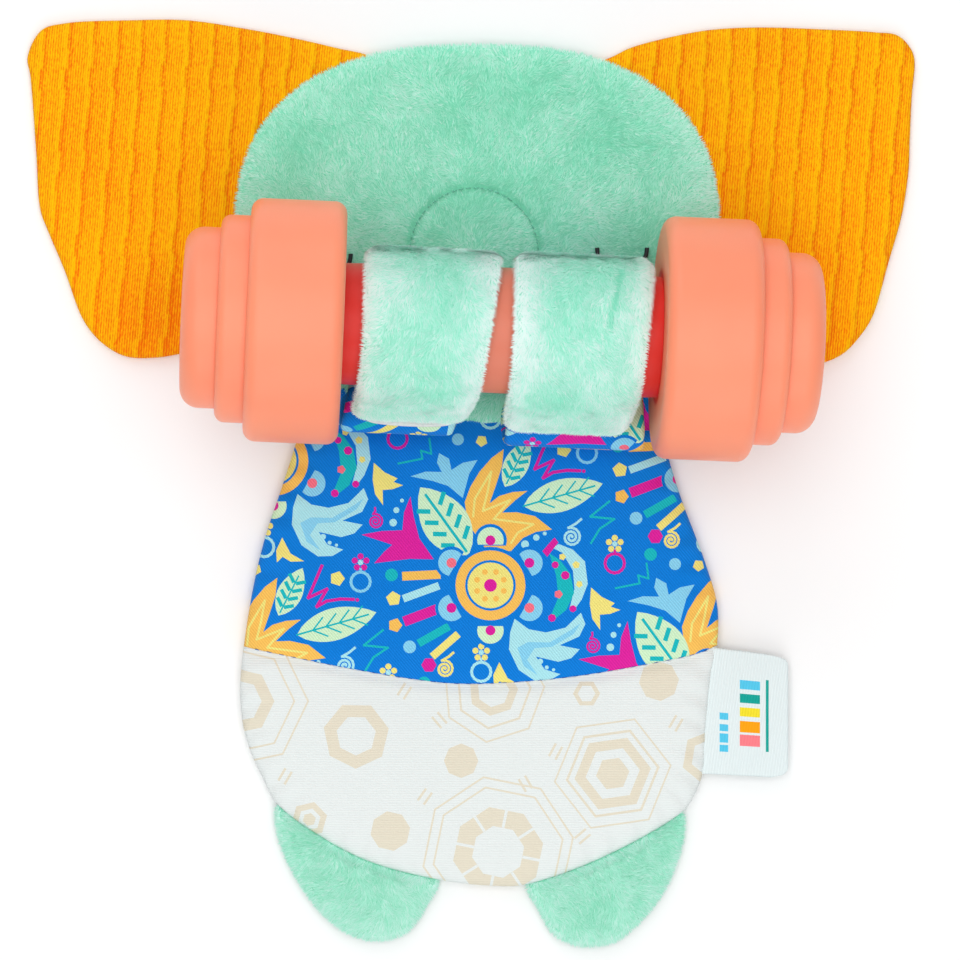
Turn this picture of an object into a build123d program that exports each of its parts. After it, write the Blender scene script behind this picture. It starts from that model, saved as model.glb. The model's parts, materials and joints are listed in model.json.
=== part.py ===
from build123d import *
import os
from math import atan2, cos, degrees, hypot, pi, radians, sin

# A flat plush rattle lying on its back: +Z comes up out of its front, +Y runs to the top of the
# head and +X to the viewer's right.  A round-plated plastic dumbbell with beads in both ends is
# held across the chest by two arms that wrap round its bar and close with hook-and-loop patches.

# ---------------------------------------------------------------- layers of head and body
BACK_CLOTH = 1.4            # back panels, pile included
FRONT_CLOTH = 1.4           # front panels above the wadding
HEAD_THICK = 6.0
BODY_THICK = 6.0
HEAD_SEAM = 3.0             # seam allowance round the head's wadding
BODY_SEAM = 2.5
FILM_THICK = 0.3            # crinkle film
FILM_SEAM = 5.0             # the film's distance from the outline

# ---------------------------------------------------------------- head
HEAD_X, HEAD_Y = 1.75, 62.0
HEAD_HALF_W, HEAD_HALF_H = 61.4, 48.5
HEAD_POWER = 2.5            # 2 is an ellipse, more is squarer
FACE_X = 0.9                # the face's middle line
EYE_SPREAD, EYE_Y = 36.8, 57.3
EYE_RADIUS = 6.2            # curve of a sleeping eye
MUZZLE_Y = 57.8
MUZZLE_RADIUS = 15.9
THREAD_WIDTH = 1.0
THREAD_HEIGHT = 0.4

# ---------------------------------------------------------------- ears, as offsets from HEAD_X
EAR_TOP_SEAM = (30.0, 108.4)
EAR_TOP_MID = (62.0, 114.8)
EAR_TIP = (112.4, 116.4)
EAR_SIDE = (109.1, 67.0)
EAR_HEEL = (96.0, 29.6)
EAR_LOW_SEAM = (52.0, 38.0)
EAR_ROUNDS = (80.0, 9.0, 60.0, 15.0)    # at the middle of the top, tip, side and heel
RIGHT_EAR_DROP = 1.7        # the right ear sits this much lower
EAR_THICK = 3.2
EAR_CLOTH = 1.2
EAR_FILM_SEAM = 5.0
EAR_LIFT = 0.2              # ears hang just clear of what the toy lies on
EAR_FOLD = 2.4              # fold line, outside the head's bulge
FOLD_STAY = 0.9             # fold line to the cloth that stays
FOLD_MOVE = 1.9             # fold line to the cloth that folds

# ---------------------------------------------------------------- shirt and shorts
WAIST = ((-56.6, -40.4), (2.0, -49.6), (61.4, -40.3))
SHIRT_SIDES = ((-52.0, -15.5), (58.0, -17.5))
SHOULDERS = ((-39.5, 24.0), (44.5, 24.0))
SHORTS_EDGE = ((-57.4, -52.0), (-54.9, -66.4), (-48.4, -79.6), (-27.0, -93.4), (4.9, -100.1),
               (30.0, -94.4), (53.6, -80.9), (58.4, -66.5), (60.4, -51.0))

# ---------------------------------------------------------------- feet
LEFT_FOOT = ((-48.4, -79.9), (-46.4, -95.4), (-35.1, -109.6), (-22.4, -114.5), (-12.4, -108.6),
             (-7.4, -98.9))
RIGHT_FOOT = ((53.6, -80.9), (50.6, -97.8), (40.4, -112.1), (28.4, -116.0), (18.6, -110.2),
              (12.9, -99.4))
FOOT_THICK = 5.0
FOOT_SEAM = 2.0
FOOT_LIFT = 0.2
FOOT_FOLD = 2.3             # fold line, outside the bulge of the shorts
FOOT_STAY = 1.5             # fold line to the cloth that stays
FOOT_MOVE = 2.3             # fold line to the cloth that folds

# ---------------------------------------------------------------- ribbon tag
TAG_TOP, TAG_LENGTH = -39.6, 32.4
TAG_ROOT, TAG_OUT = 50.0, 79.2
TAG_THICK, TAG_SLOT = 1.5, 0.5
TAG_LOW = 2.2
TAG_ROUND = 4.0

# ---------------------------------------------------------------- dumbbell
BAR_LENGTH = 76.3
BAR_RADIUS, BAR_END_RADIUS = 15.2, 14.6     # at mid-length, and where it meets the plates
PLATE_RADII = (29.3, 25.0, 21.8)            # from the bar outwards
PLATE_WIDTHS = (23.0, 7.0, 8.5)
PLATE_ROUNDS = (3.0, 2.4, 4.6)
SHELL_WALL = 2.0
GRIP_X, GRIP_Y, GRIP_Z = 7.4, 37.2, 38.5    # middle of the bar
GRIP_YAW = -2.4             # degrees, the right end towards the feet
GRIP_PITCH = 2.5            # degrees, the right end down
BEAD_RADIUS = 3.5
BEAD_COUNT = 5
BEAD_GAP = 0.4              # bead to bead, and bead to wall

# ---------------------------------------------------------------- arms
ARM_PLATE_GAPS = (4.5, 2.75)    # left and right, from the arm to the plate beside it
ARM_MIDDLE_GAP = 1.55       # between the two arms
ARM_MIDDLE = 0.6            # that gap's middle, from the bar's middle
GRIP_CLEARANCE = 0.7
LINING_THICK = 1.0
PLUSH_THICK = 3.1
SLEEVE_THICK = 2.8
HAND_ANGLES = (-10.0, 159.5)    # degrees round the bar, 0 towards the head and 90 up
SLEEVE_ANGLE = -12.8
HAND_LEG = 26.0             # straight end of the hand, before it is cut level
SLEEVE_LIP = 28.0           # sleeve past the bar's middle, on the chest side
STEM_WIDTH, STEM_PLACE = 4.0, -22.0
PATCH_THICK, PATCH_LENGTH = 1.0, 6.0
PATCH_GAP = 0.4
PATCH_INSET = 3.0           # patch to the arm's edges
ARM_FOLD_OUT = 0.3          # fold line outside the hand's surface

BIG = 400.0                 # larger than the whole toy, for cutting
SIDES = {"left": -1, "right": 1}

os.makedirs("parts", exist_ok=True)
nodes = {}
joints = {}


def head_outline(inset=0.0):
    """The head as one closed face, drawn smaller by inset."""
    power = 2 / HEAD_POWER
    steps = 48
    points = []
    for step in range(steps):
        turn = 2 * pi * (step + 0.5) / steps
        x = (HEAD_HALF_W - inset) * abs(cos(turn)) ** power
        y = (HEAD_HALF_H - inset) * abs(sin(turn)) ** power
        points.append((HEAD_X + (x if cos(turn) > 0 else -x), HEAD_Y + (y if sin(turn) > 0 else -y)))
    return make_face(Spline(points, periodic=True))


def slab(face, low, high):
    """A flat layer between two heights."""
    return extrude(Pos(0, 0, low) * face, amount=high - low)


def inset(face, amount):
    """A face drawn smaller about its middle, by amount on each side."""
    box = face.bounding_box()
    middle = box.center()
    across, up = 1 - 2 * amount / box.size.X, 1 - 2 * amount / box.size.Y
    rows = [[across, 0, 0, middle.X * (1 - across)], [0, up, 0, middle.Y * (1 - up)], [0, 0, 1, 0]]
    return face.transform_geometry(Matrix(rows))


def beyond(point, along, distance):
    """All that lies further than distance to the left of a line, as a large face."""
    reach = distance + BIG / 2
    middle = (point[0] - along[1] * reach, point[1] + along[0] * reach)
    return Pos(*middle) * Rot(0, 0, degrees(atan2(along[1], along[0]))) * Rectangle(2 * BIG, BIG)


def fold_line(face, first, second, margin):
    """The fold line beside a seam that runs from first to second, outside the bulge on its left.

    Returns a point in the middle of the line, and the line's direction."""
    length = hypot(second[0] - first[0], second[1] - first[1])
    along = ((second[0] - first[0]) / length, (second[1] - first[1]) / length)
    left = Vector(-along[1], along[0])
    samples = [edge.position_at(step / 60) for edge in face.edges() for step in range(61)]
    reach = max((sample - Vector(*first)).dot(left) for sample in samples) + margin
    middle = ((first[0] + second[0]) / 2 + left.X * reach, (first[1] + second[1]) / 2 + left.Y * reach)
    return middle, along


# ---------------------------------------------------------------- head
head = head_outline()
head_filling = head_outline(HEAD_SEAM)
head_top = HEAD_THICK - FRONT_CLOTH
nodes["head_back_panel"] = slab(head, 0, BACK_CLOTH)
nodes["head_wadding"] = slab(head_filling, BACK_CLOTH, head_top)
nodes["head_front_panel"] = slab(head, BACK_CLOTH, HEAD_THICK) - nodes["head_wadding"]


def thread_arc(radius):
    """A round line of stitches of the thread's width."""
    return Circle(radius + THREAD_WIDTH / 2) - Circle(radius - THREAD_WIDTH / 2)


muzzle = Pos(FACE_X, MUZZLE_Y) * thread_arc(MUZZLE_RADIUS)
nodes["muzzle_stitching"] = slab(muzzle, HEAD_THICK, HEAD_THICK + THREAD_HEIGHT)
for side, sign in SIDES.items():
    lower_half = Pos(0, -EYE_RADIUS) * Rectangle(4 * EYE_RADIUS, 2 * EYE_RADIUS)
    eye = Pos(FACE_X + sign * EYE_SPREAD, EYE_Y) * (thread_arc(EYE_RADIUS) & lower_half)
    nodes[f"{side}_eye_embroidery"] = slab(eye, HEAD_THICK, HEAD_THICK + THREAD_HEIGHT)

# ---------------------------------------------------------------- shirt and shorts
shirt_run = [
    ThreePointArc(*WAIST),
    ThreePointArc(WAIST[2], SHIRT_SIDES[1], SHOULDERS[1]),
    Line(SHOULDERS[1], SHOULDERS[0]),
    ThreePointArc(SHOULDERS[0], SHIRT_SIDES[0], WAIST[0]),
]
shirt = make_face(Wire(shirt_run)) - head
shorts_run = [ThreePointArc(*WAIST), Spline(WAIST[2], *reversed(SHORTS_EDGE), WAIST[0])]
shorts = make_face(Wire(shorts_run))
body = shirt + shorts
body_film = inset(body, FILM_SEAM)
body_filling = inset(body, BODY_SEAM)
body_top = BODY_THICK - FRONT_CLOTH
film_top = BACK_CLOTH + FILM_THICK
nodes["body_crinkle_film"] = slab(body_film, BACK_CLOTH, film_top)
nodes["body_wadding"] = slab(body_filling, BACK_CLOTH, body_top) - nodes["body_crinkle_film"]
body_core = slab(body_filling, BACK_CLOTH, body_top)
for name, face in {"shirt": shirt, "shorts": shorts}.items():
    nodes[f"{name}_back_panel"] = slab(face, 0, BACK_CLOTH)
    nodes[f"{name}_front_panel"] = slab(face, BACK_CLOTH, BODY_THICK) - body_core

# ---------------------------------------------------------------- ribbon tag, a folded loop
tag_size = (TAG_OUT - TAG_ROOT, TAG_LENGTH)
tag = Pos((TAG_ROOT + TAG_OUT) / 2, TAG_TOP - TAG_LENGTH / 2) * RectangleRounded(*tag_size, TAG_ROUND)
slot_low = TAG_LOW + (TAG_THICK - TAG_SLOT) / 2
tag_slot = Pos(-TAG_THICK, 0, 0) * slab(tag, slot_low, slot_low + TAG_SLOT)
nodes["side_ribbon_tag"] = slab(tag, TAG_LOW, TAG_LOW + TAG_THICK) - tag_slot - slab(body, 0, BODY_THICK)


# ---------------------------------------------------------------- ears, which fold beside the head
for side, sign in SIDES.items():
    drop = RIGHT_EAR_DROP if sign > 0 else 0.0
    places = (EAR_TOP_SEAM, EAR_TOP_MID, EAR_TIP, EAR_SIDE, EAR_HEEL, EAR_LOW_SEAM)
    run = [(FACE_X + sign * place[0], place[1] - drop) for place in places]
    rim = FilletPolyline(*run, radius=[*EAR_ROUNDS])
    ear = make_face(Wire([*rim.edges(), Line(run[-1], run[0])])) - head
    ends = (run[-1], run[0]) if sign < 0 else (run[0], run[-1])
    point, along = fold_line(head, *ends, EAR_FOLD)
    moving = ear & beyond(point, along, FOLD_MOVE)
    low, high = EAR_LIFT, EAR_LIFT + EAR_THICK
    film = slab(inset(moving, EAR_FILM_SEAM), low + EAR_CLOTH, low + EAR_CLOTH + FILM_THICK)
    nodes[f"{side}_ear_root"] = slab(ear - beyond(point, along, -FOLD_STAY), low, high)
    nodes[f"{side}_ear_back_panel"] = slab(moving, low, low + EAR_CLOTH)
    nodes[f"{side}_ear_crinkle_film"] = film
    nodes[f"{side}_ear_front_panel"] = slab(moving, low + EAR_CLOTH, high) - film
    joints[f"{side}_ear_fold"] = (Vector(*point, (low + high) / 2), Vector(*along))

# ---------------------------------------------------------------- feet, which fold below the shorts
feet = {
    "left": (LEFT_FOOT, LEFT_FOOT[-1], LEFT_FOOT[0]),
    "right": (RIGHT_FOOT, RIGHT_FOOT[0], RIGHT_FOOT[-1]),
}
for side, (rim, first, second) in feet.items():
    foot = make_face(Wire([Spline(*rim), Line(rim[-1], rim[0])])) - shorts
    point, along = fold_line(shorts, first, second, FOOT_FOLD)
    moving = foot & beyond(point, along, FOOT_MOVE)
    low, high = FOOT_LIFT, FOOT_LIFT + FOOT_THICK
    filling = slab(inset(moving, FOOT_SEAM), low + BACK_CLOTH, high - FRONT_CLOTH)
    nodes[f"{side}_foot_root"] = slab(foot - beyond(point, along, -FOOT_STAY), low, high)
    nodes[f"{side}_foot_back_panel"] = slab(moving, low, low + BACK_CLOTH)
    nodes[f"{side}_foot_wadding"] = filling
    nodes[f"{side}_foot_front_panel"] = slab(moving, low + BACK_CLOTH, high) - filling
    joints[f"{side}_foot_fold"] = (Vector(*point, (low + high) / 2), Vector(*along))

# ---------------------------------------------------------------- dumbbell, along +X about its middle
grip = Pos(GRIP_X, GRIP_Y, GRIP_Z) * Rot(0, 0, GRIP_YAW) * Rot(0, GRIP_PITCH, 0)
grip_axis = (grip * Pos(1, 0, 0)).position - grip.position


def disc(radius, low, high):
    """A round plate about the bar's axis, between two places along it."""
    return Pos((low + high) / 2, 0, 0) * Rot(0, 90, 0) * Cylinder(radius, high - low)


def rim_round(plate, radius, both_ends):
    """A plate with its outward rim rounded, and the inward one too on the largest plate."""
    rims = plate.edges().filter_by(GeomType.CIRCLE).sort_by(Axis.X)
    return fillet(rims if both_ends else rims[-1], radius)


bar_half = BAR_LENGTH / 2
barrel = ThreePointArc((-bar_half, BAR_END_RADIUS), (0, BAR_RADIUS), (bar_half, BAR_END_RADIUS))
sides = Polyline((bar_half, BAR_END_RADIUS), (bar_half, 0), (-bar_half, 0), (-bar_half, BAR_END_RADIUS))
bar = revolve(make_face(Wire([barrel, *sides.edges()])), Axis.X)
bar_bore = disc(BAR_END_RADIUS - SHELL_WALL, -bar_half + SHELL_WALL / 2, bar_half - SHELL_WALL / 2)
casing = bar
hollow = bar_bore
plate_low = bar_half
for count, (radius, width, rounding) in enumerate(zip(PLATE_RADII, PLATE_WIDTHS, PLATE_ROUNDS)):
    plate = rim_round(disc(radius, plate_low, plate_low + width), rounding, count == 0)
    casing += plate + mirror(plate, Plane.YZ)
    # the largest plate is a closed bead chamber, and the two smaller ones share one hollow
    room_low = plate_low + SHELL_WALL * (1 - count)
    room = disc(radius - SHELL_WALL, room_low, plate_low + width - SHELL_WALL)
    hollow += room + mirror(room, Plane.YZ)
    plate_low += width
shell = casing - hollow
for name, height in {"front": BIG / 2, "back": -BIG / 2}.items():
    half_space = Pos(0, 0, height) * Box(BIG, BIG, BIG)
    nodes[f"dumbbell_{name}_shell"] = grip * (shell & half_space)
joints["dumbbell_spin"] = (Vector(GRIP_X, GRIP_Y, GRIP_Z), grip_axis)

# ---------------------------------------------------------------- beads, loose in the largest plates
bead_ring = PLATE_RADII[0] - SHELL_WALL - BEAD_RADIUS - BEAD_GAP
bead_step = degrees((2 * BEAD_RADIUS + BEAD_GAP) / bead_ring) * 1.01
chamber_middle = bar_half + PLATE_WIDTHS[0] / 2
for side, sign in SIDES.items():
    beads = Part()
    for count in range(BEAD_COUNT):
        turn = radians(-90 + (count - (BEAD_COUNT - 1) / 2) * bead_step)
        place = Pos(sign * chamber_middle, bead_ring * cos(turn), bead_ring * sin(turn))
        beads += place * Sphere(BEAD_RADIUS)
    nodes[f"{side}_rattle_beads"] = grip * beads
    joints[f"{side}_bead_slide"] = ((grip * Pos(sign * chamber_middle, 0, -bead_ring)).position, grip_axis)
bead_travel = PLATE_WIDTHS[0] / 2 - SHELL_WALL - BEAD_RADIUS - BEAD_GAP


# ---------------------------------------------------------------- arms round the bar
def polar(radius, turn):
    """A point in the arm's cross-section, by its distance from the bar's axis and its angle."""
    return radius * cos(radians(turn)), radius * sin(radians(turn))


def arm_arc(inner, outer, first, last):
    """A layer bent round the bar from one angle to another, as a cross-section."""
    middle = (first + last) / 2
    run = [
        ThreePointArc(polar(outer, first), polar(outer, middle), polar(outer, last)),
        Line(polar(outer, last), polar(inner, last)),
        ThreePointArc(polar(inner, last), polar(inner, middle), polar(inner, first)),
        Line(polar(inner, first), polar(outer, first)),
    ]
    return make_face(Wire(run))


def arm_leg(inner, outer, turn, length):
    """The layer's straight run on from an angle, square to it there."""
    far = (length * -sin(radians(turn)), length * cos(radians(turn)))
    near = (polar(inner, turn), polar(outer, turn))
    ends = [(place[0] + far[0], place[1] + far[1]) for place in reversed(near)]
    return make_face(Polyline(*near, *ends, close=True))


def level_box(left, right, low, high):
    """A rectangle in the cross-section by its four sides."""
    return Pos((left + right) / 2, (low + high) / 2) * Rectangle(right - left, high - low)


lining_inner = BAR_RADIUS + GRIP_CLEARANCE
plush_inner = lining_inner + LINING_THICK
plush_outer = plush_inner + PLUSH_THICK
sleeve_outer = lining_inner + SLEEVE_THICK
hand_end = -lining_inner + 2 * PATCH_THICK + PATCH_GAP      # height of the hand's level cut end
above_end = level_box(-BIG, BIG, hand_end, BIG)
lining_face = arm_arc(lining_inner, plush_inner, *HAND_ANGLES)
lining_face += arm_leg(lining_inner, plush_inner, HAND_ANGLES[1], HAND_LEG) & above_end
plush_face = arm_arc(plush_inner, plush_outer, *HAND_ANGLES)
plush_face += arm_leg(plush_inner, plush_outer, HAND_ANGLES[1], HAND_LEG) & above_end
sleeve_face = arm_arc(lining_inner, sleeve_outer, -90, SLEEVE_ANGLE)
sleeve_face += level_box(-SLEEVE_LIP, 0, -sleeve_outer, -lining_inner)
stem = level_box(STEM_PLACE - STEM_WIDTH / 2, STEM_PLACE + STEM_WIDTH / 2, -GRIP_Z, -sleeve_outer)
tip = plush_face.bounding_box().min.X
hook_face = level_box(tip, tip + PATCH_LENGTH, hand_end - PATCH_THICK, hand_end)
loop_face = level_box(tip - 1, tip + PATCH_LENGTH, -lining_inner, -lining_inner + PATCH_THICK)
below_body = Pos(0, 0, BODY_THICK - BIG / 2) * Box(BIG, BIG, BIG)
head_block = slab(head, 0, HEAD_THICK)
fold_radius = plush_outer + ARM_FOLD_OUT
fold_place = polar(fold_radius, (HAND_ANGLES[0] + SLEEVE_ANGLE) / 2)

arm_ends = {
    "left": (-bar_half + ARM_PLATE_GAPS[0], ARM_MIDDLE - ARM_MIDDLE_GAP / 2),
    "right": (ARM_MIDDLE + ARM_MIDDLE_GAP / 2, bar_half - ARM_PLATE_GAPS[1]),
}
for side, (arm_start, arm_end) in arm_ends.items():
    width = arm_end - arm_start
    place = (arm_start + arm_end) / 2

    def layer(face, margin=0.0):
        """A cross-section drawn out to the arm's width, less a margin at each edge."""
        section = Plane.YZ * face
        return Pos(place - width / 2 + margin, 0, 0) * extrude(section, amount=width - 2 * margin)

    nodes[f"{side}_hand_lining"] = grip * layer(lining_face)
    nodes[f"{side}_hand_plush"] = grip * layer(plush_face)
    nodes[f"{side}_hook_patch"] = grip * layer(hook_face, PATCH_INSET)
    nodes[f"{side}_loop_patch"] = grip * layer(loop_face, PATCH_INSET)
    nodes[f"{side}_sleeve"] = grip * layer(sleeve_face + stem) - below_body - head_block
    joints[f"{side}_arm_open"] = ((grip * Pos(place, *fold_place)).position, grip_axis)

# ---------------------------------------------------------------- origin below the middle, and export
whole = Compound(list(nodes.values())).bounding_box()
origin = Pos(-whole.center().X, -whole.center().Y, -whole.min.Z)
for name, part in nodes.items():
    export_step(origin * part, f"parts/{name}.step")
print("size", whole.size)
print("bead travel", bead_travel)
for name, (point, axis) in joints.items():
    print(name, (origin * Pos(point.X, point.Y, point.Z)).position, axis)
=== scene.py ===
import json
import logging
import math
from dataclasses import dataclass, field
from enum import Enum
from typing import Callable, Protocol, Sequence

import bpy
import numpy as np
from mathutils import Matrix, Vector, geometry, noise


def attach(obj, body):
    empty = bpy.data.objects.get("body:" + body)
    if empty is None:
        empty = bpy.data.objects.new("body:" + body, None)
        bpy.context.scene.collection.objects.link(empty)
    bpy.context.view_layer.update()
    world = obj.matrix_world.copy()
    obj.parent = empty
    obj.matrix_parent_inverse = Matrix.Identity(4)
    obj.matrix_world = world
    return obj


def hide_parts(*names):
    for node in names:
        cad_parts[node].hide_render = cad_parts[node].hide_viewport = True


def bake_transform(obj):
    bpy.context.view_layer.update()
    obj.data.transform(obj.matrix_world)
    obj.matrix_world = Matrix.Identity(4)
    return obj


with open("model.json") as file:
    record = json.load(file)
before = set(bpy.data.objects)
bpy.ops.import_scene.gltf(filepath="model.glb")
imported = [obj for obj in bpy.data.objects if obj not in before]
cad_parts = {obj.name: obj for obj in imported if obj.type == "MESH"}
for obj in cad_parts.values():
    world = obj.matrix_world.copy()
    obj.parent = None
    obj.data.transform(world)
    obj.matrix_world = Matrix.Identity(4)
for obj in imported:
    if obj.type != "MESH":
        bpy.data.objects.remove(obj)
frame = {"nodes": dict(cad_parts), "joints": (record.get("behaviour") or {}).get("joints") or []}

# Lengths are in millimetres until a mesh is made.  +X is the viewer's right, +Y the top of the
# head and +Z up out of the toy's front.
MM = 0.001
WAVE_PERIOD = math.pi / 10      # a band texture's period, in metres, at a scale of 1
BAR_RADIUS = 15.2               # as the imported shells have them
BAR_HALF_LENGTH = 38.15
LOG = logging.getLogger("rattle")
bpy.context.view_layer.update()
Points = np.ndarray


# ------------------------------------------------------------------ colour and node helpers
def linear(hex_colour: str) -> tuple[float, float, float, float]:
    """Turn an sRGB hex colour into a linear one.

    Args:
        hex_colour: six hex digits, with or without a hash.

    Returns:
        Red, green, blue and an alpha of 1.
    """
    digits = hex_colour.lstrip("#")
    parts = [int(digits[i:i + 2], 16) / 255 for i in (0, 2, 4)]
    red, green, blue = (c / 12.92 if c <= 0.04045 else ((c + 0.055) / 1.055) ** 2.4 for c in parts)
    return red, green, blue, 1.0


def add_node(tree: bpy.types.NodeTree, kind: str, inputs: dict | None = None,
             **settings: object) -> bpy.types.Node:
    """Add a node, set it up and link what feeds it.

    Args:
        tree: the material's node tree.
        kind: the node's type name.
        inputs: socket name or number to a value, or to the output socket that feeds it.
        settings: the node's own properties.

    Returns:
        The new node.
    """
    node = tree.nodes.new(kind)
    for name, value in settings.items():
        setattr(node, name, value)
    for name, value in (inputs or {}).items():
        if isinstance(value, bpy.types.NodeSocket):
            tree.links.new(value, node.inputs[name])
        else:
            node.inputs[name].default_value = value
    return node


def new_material(name: str) -> tuple[bpy.types.Material, bpy.types.NodeTree]:
    """Make an empty node material.

    Args:
        name: the material's name.

    Returns:
        The material and its node tree.
    """
    material = bpy.data.materials.new(name)
    material.use_nodes = True
    material.node_tree.nodes.clear()
    return material, material.node_tree


def close_shader(tree: bpy.types.NodeTree, inputs: dict) -> None:
    """End a material with a Principled shader.

    Args:
        tree: the material's node tree.
        inputs: the shader's sockets, as for add_node.
    """
    shader = add_node(tree, "ShaderNodeBsdfPrincipled", inputs)
    add_node(tree, "ShaderNodeOutputMaterial", {"Surface": shader.outputs["BSDF"]})


# ------------------------------------------------------------------ finishes
class Dye(Enum):
    """The inks of the printed cloths; a print's ground is always number 0."""

    GROUND = 0
    PALM = 1
    STRAW = 2
    MINT = 3
    TEAL = 4
    SKY = 5
    ICE = 6
    MAGENTA = 7
    CORAL = 8


@dataclass(frozen=True)
class PlushGround:
    """Knitted backing of short-pile plush, seen between the fibres as a soft felt."""

    name: str
    dark: str
    light: str
    clump_mm: float = 3.0

    def material(self) -> bpy.types.Material:
        """Build the backing: two tones in soft clumps, fine felt bump and a little sheen."""
        material, tree = new_material(self.name)
        place = add_node(tree, "ShaderNodeTexCoord").outputs["Object"]
        clumps = add_node(tree, "ShaderNodeTexNoise", {"Vector": place, "Scale": 1 / (self.clump_mm * MM)})
        mix = add_node(tree, "ShaderNodeMix", {"Factor": clumps.outputs["Fac"], 6: linear(self.dark),
                                               7: linear(self.light)}, data_type="RGBA")
        felt = add_node(tree, "ShaderNodeTexNoise", {"Vector": place, "Scale": 1 / (0.5 * MM), "Detail": 3.0})
        bump = add_node(tree, "ShaderNodeBump", {"Height": felt.outputs["Fac"], "Strength": 0.6,
                                                 "Distance": 0.4 * MM})
        close_shader(tree, {"Base Color": mix.outputs[2], "Roughness": 0.95, "Normal": bump.outputs["Normal"],
                            "Sheen Weight": 0.3, "Specular IOR Level": 0.2})
        return material


@dataclass(frozen=True)
class PileTone:
    """One tone of polyester pile: matt fibres that glow a little at their edges."""

    name: str
    colour: str

    def material(self) -> bpy.types.Material:
        """Build the fibre's plain finish; the pile mixes several tones blade by blade."""
        material, tree = new_material(self.name)
        close_shader(tree, {"Base Color": linear(self.colour), "Roughness": 0.8, "Sheen Weight": 0.25,
                            "Sheen Roughness": 0.5, "Specular IOR Level": 0.25})
        return material


@dataclass(frozen=True)
class PrintedCloth:
    """Printed cotton: one ink on a cloth whose wales catch the light in fine slanting lines."""

    name: str
    colour: str
    wale_mm: float
    slant: float
    depth_mm: float = 0.12
    contrast: float = 0.16

    def material(self) -> bpy.types.Material:
        """Build the ink: wales as darker lines and bump, and a slow unevenness of the dye."""
        material, tree = new_material(self.name)
        place = add_node(tree, "ShaderNodeTexCoord").outputs["Object"]
        turned = add_node(tree, "ShaderNodeMapping",
                          {"Vector": place, "Rotation": (0, 0, math.radians(self.slant))})
        wales = add_node(tree, "ShaderNodeTexWave", {"Vector": turned.outputs["Vector"],
                                                     "Scale": WAVE_PERIOD / (self.wale_mm * MM),
                                                     "Distortion": 0.6, "Detail": 1.0, "Detail Scale": 3.0},
                         bands_direction="X")
        patches = add_node(tree, "ShaderNodeTexNoise",
                           {"Vector": place, "Scale": 1 / (9 * MM), "Detail": 2.0})
        base = linear(self.colour)
        dark = tuple(c * (1 - self.contrast) for c in base[:3]) + (1.0,)
        light = tuple(min(1.0, c * (1 + self.contrast) + 0.01) for c in base[:3]) + (1.0,)
        wale_mix = add_node(tree, "ShaderNodeMix", {"Factor": wales.outputs["Fac"], 6: dark, 7: light},
                            data_type="RGBA")
        dye = add_node(tree, "ShaderNodeMix", {"Factor": patches.outputs["Fac"], 6: wale_mix.outputs[2],
                                               7: base}, data_type="RGBA")
        bump = add_node(tree, "ShaderNodeBump", {"Height": wales.outputs["Fac"], "Strength": 0.5,
                                                 "Distance": self.depth_mm * MM})
        close_shader(tree, {"Base Color": dye.outputs[2], "Roughness": 0.8, "Normal": bump.outputs["Normal"],
                            "Sheen Weight": 0.05, "Specular IOR Level": 0.1})
        return material


@dataclass(frozen=True)
class WaffleKnit:
    """Thick cotton knit: columns of fine stitches, flecked, with painted highlight and shade on its ribs."""

    name: str
    high: str
    low: str
    column_mm: float = 0.62     # drawn as coarse as the stitch columns need to show
    fleck_mm: float = 0.45

    def material(self) -> bpy.types.Material:
        """Build the knit: stitch columns as bump and flecks, and a tone from the rib attribute, which holds
        painted highlight and shade.
        """
        material, tree = new_material(self.name)
        place = add_node(tree, "ShaderNodeTexCoord").outputs["Object"]
        leant = add_node(tree, "ShaderNodeMapping", {"Vector": place, "Rotation": (0, 0, math.radians(5))})
        columns = add_node(tree, "ShaderNodeTexWave", {"Vector": leant.outputs["Vector"], "Distortion": 1.2,
                                                       "Scale": WAVE_PERIOD / (self.column_mm * MM),
                                                       "Detail": 2.0, "Detail Scale": 2.0},
                           bands_direction="X")
        stretched = add_node(tree, "ShaderNodeMapping",
                             {"Vector": leant.outputs["Vector"], "Scale": (1, 0.45, 1)})
        flecks = add_node(tree, "ShaderNodeTexNoise", {"Vector": stretched.outputs["Vector"], "Detail": 2.0,
                                                       "Scale": 1 / (self.fleck_mm * MM)})
        stitch = add_node(tree, "ShaderNodeMath",
                          {0: columns.outputs["Fac"], 1: 0.45, 2: flecks.outputs["Fac"]},
                          operation="MULTIPLY_ADD")
        # painted light: the rib attribute holds the ribs' painted highlight and shade, and painted shadow of
        # the dumbbell
        rib = add_node(tree, "ShaderNodeAttribute", attribute_name="rib")
        fleck_tone = add_node(tree, "ShaderNodeMath", {0: stitch.outputs[0], 1: 1.5, 2: -1.05},
                              operation="MULTIPLY_ADD")
        tone = add_node(tree, "ShaderNodeMath", {0: fleck_tone.outputs[0], 1: rib.outputs["Fac"]},
                        operation="ADD", use_clamp=True)
        mix = add_node(tree, "ShaderNodeMix", {"Factor": tone.outputs[0], 6: linear(self.low),
                                               7: linear(self.high)}, data_type="RGBA")
        bump = add_node(tree, "ShaderNodeBump", {"Height": stitch.outputs[0], "Strength": 0.6,
                                                 "Distance": 0.22 * MM})
        close_shader(tree, {"Base Color": mix.outputs[2], "Roughness": 0.85, "Normal": bump.outputs["Normal"],
                            "Specular IOR Level": 0.12})
        return material


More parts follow.
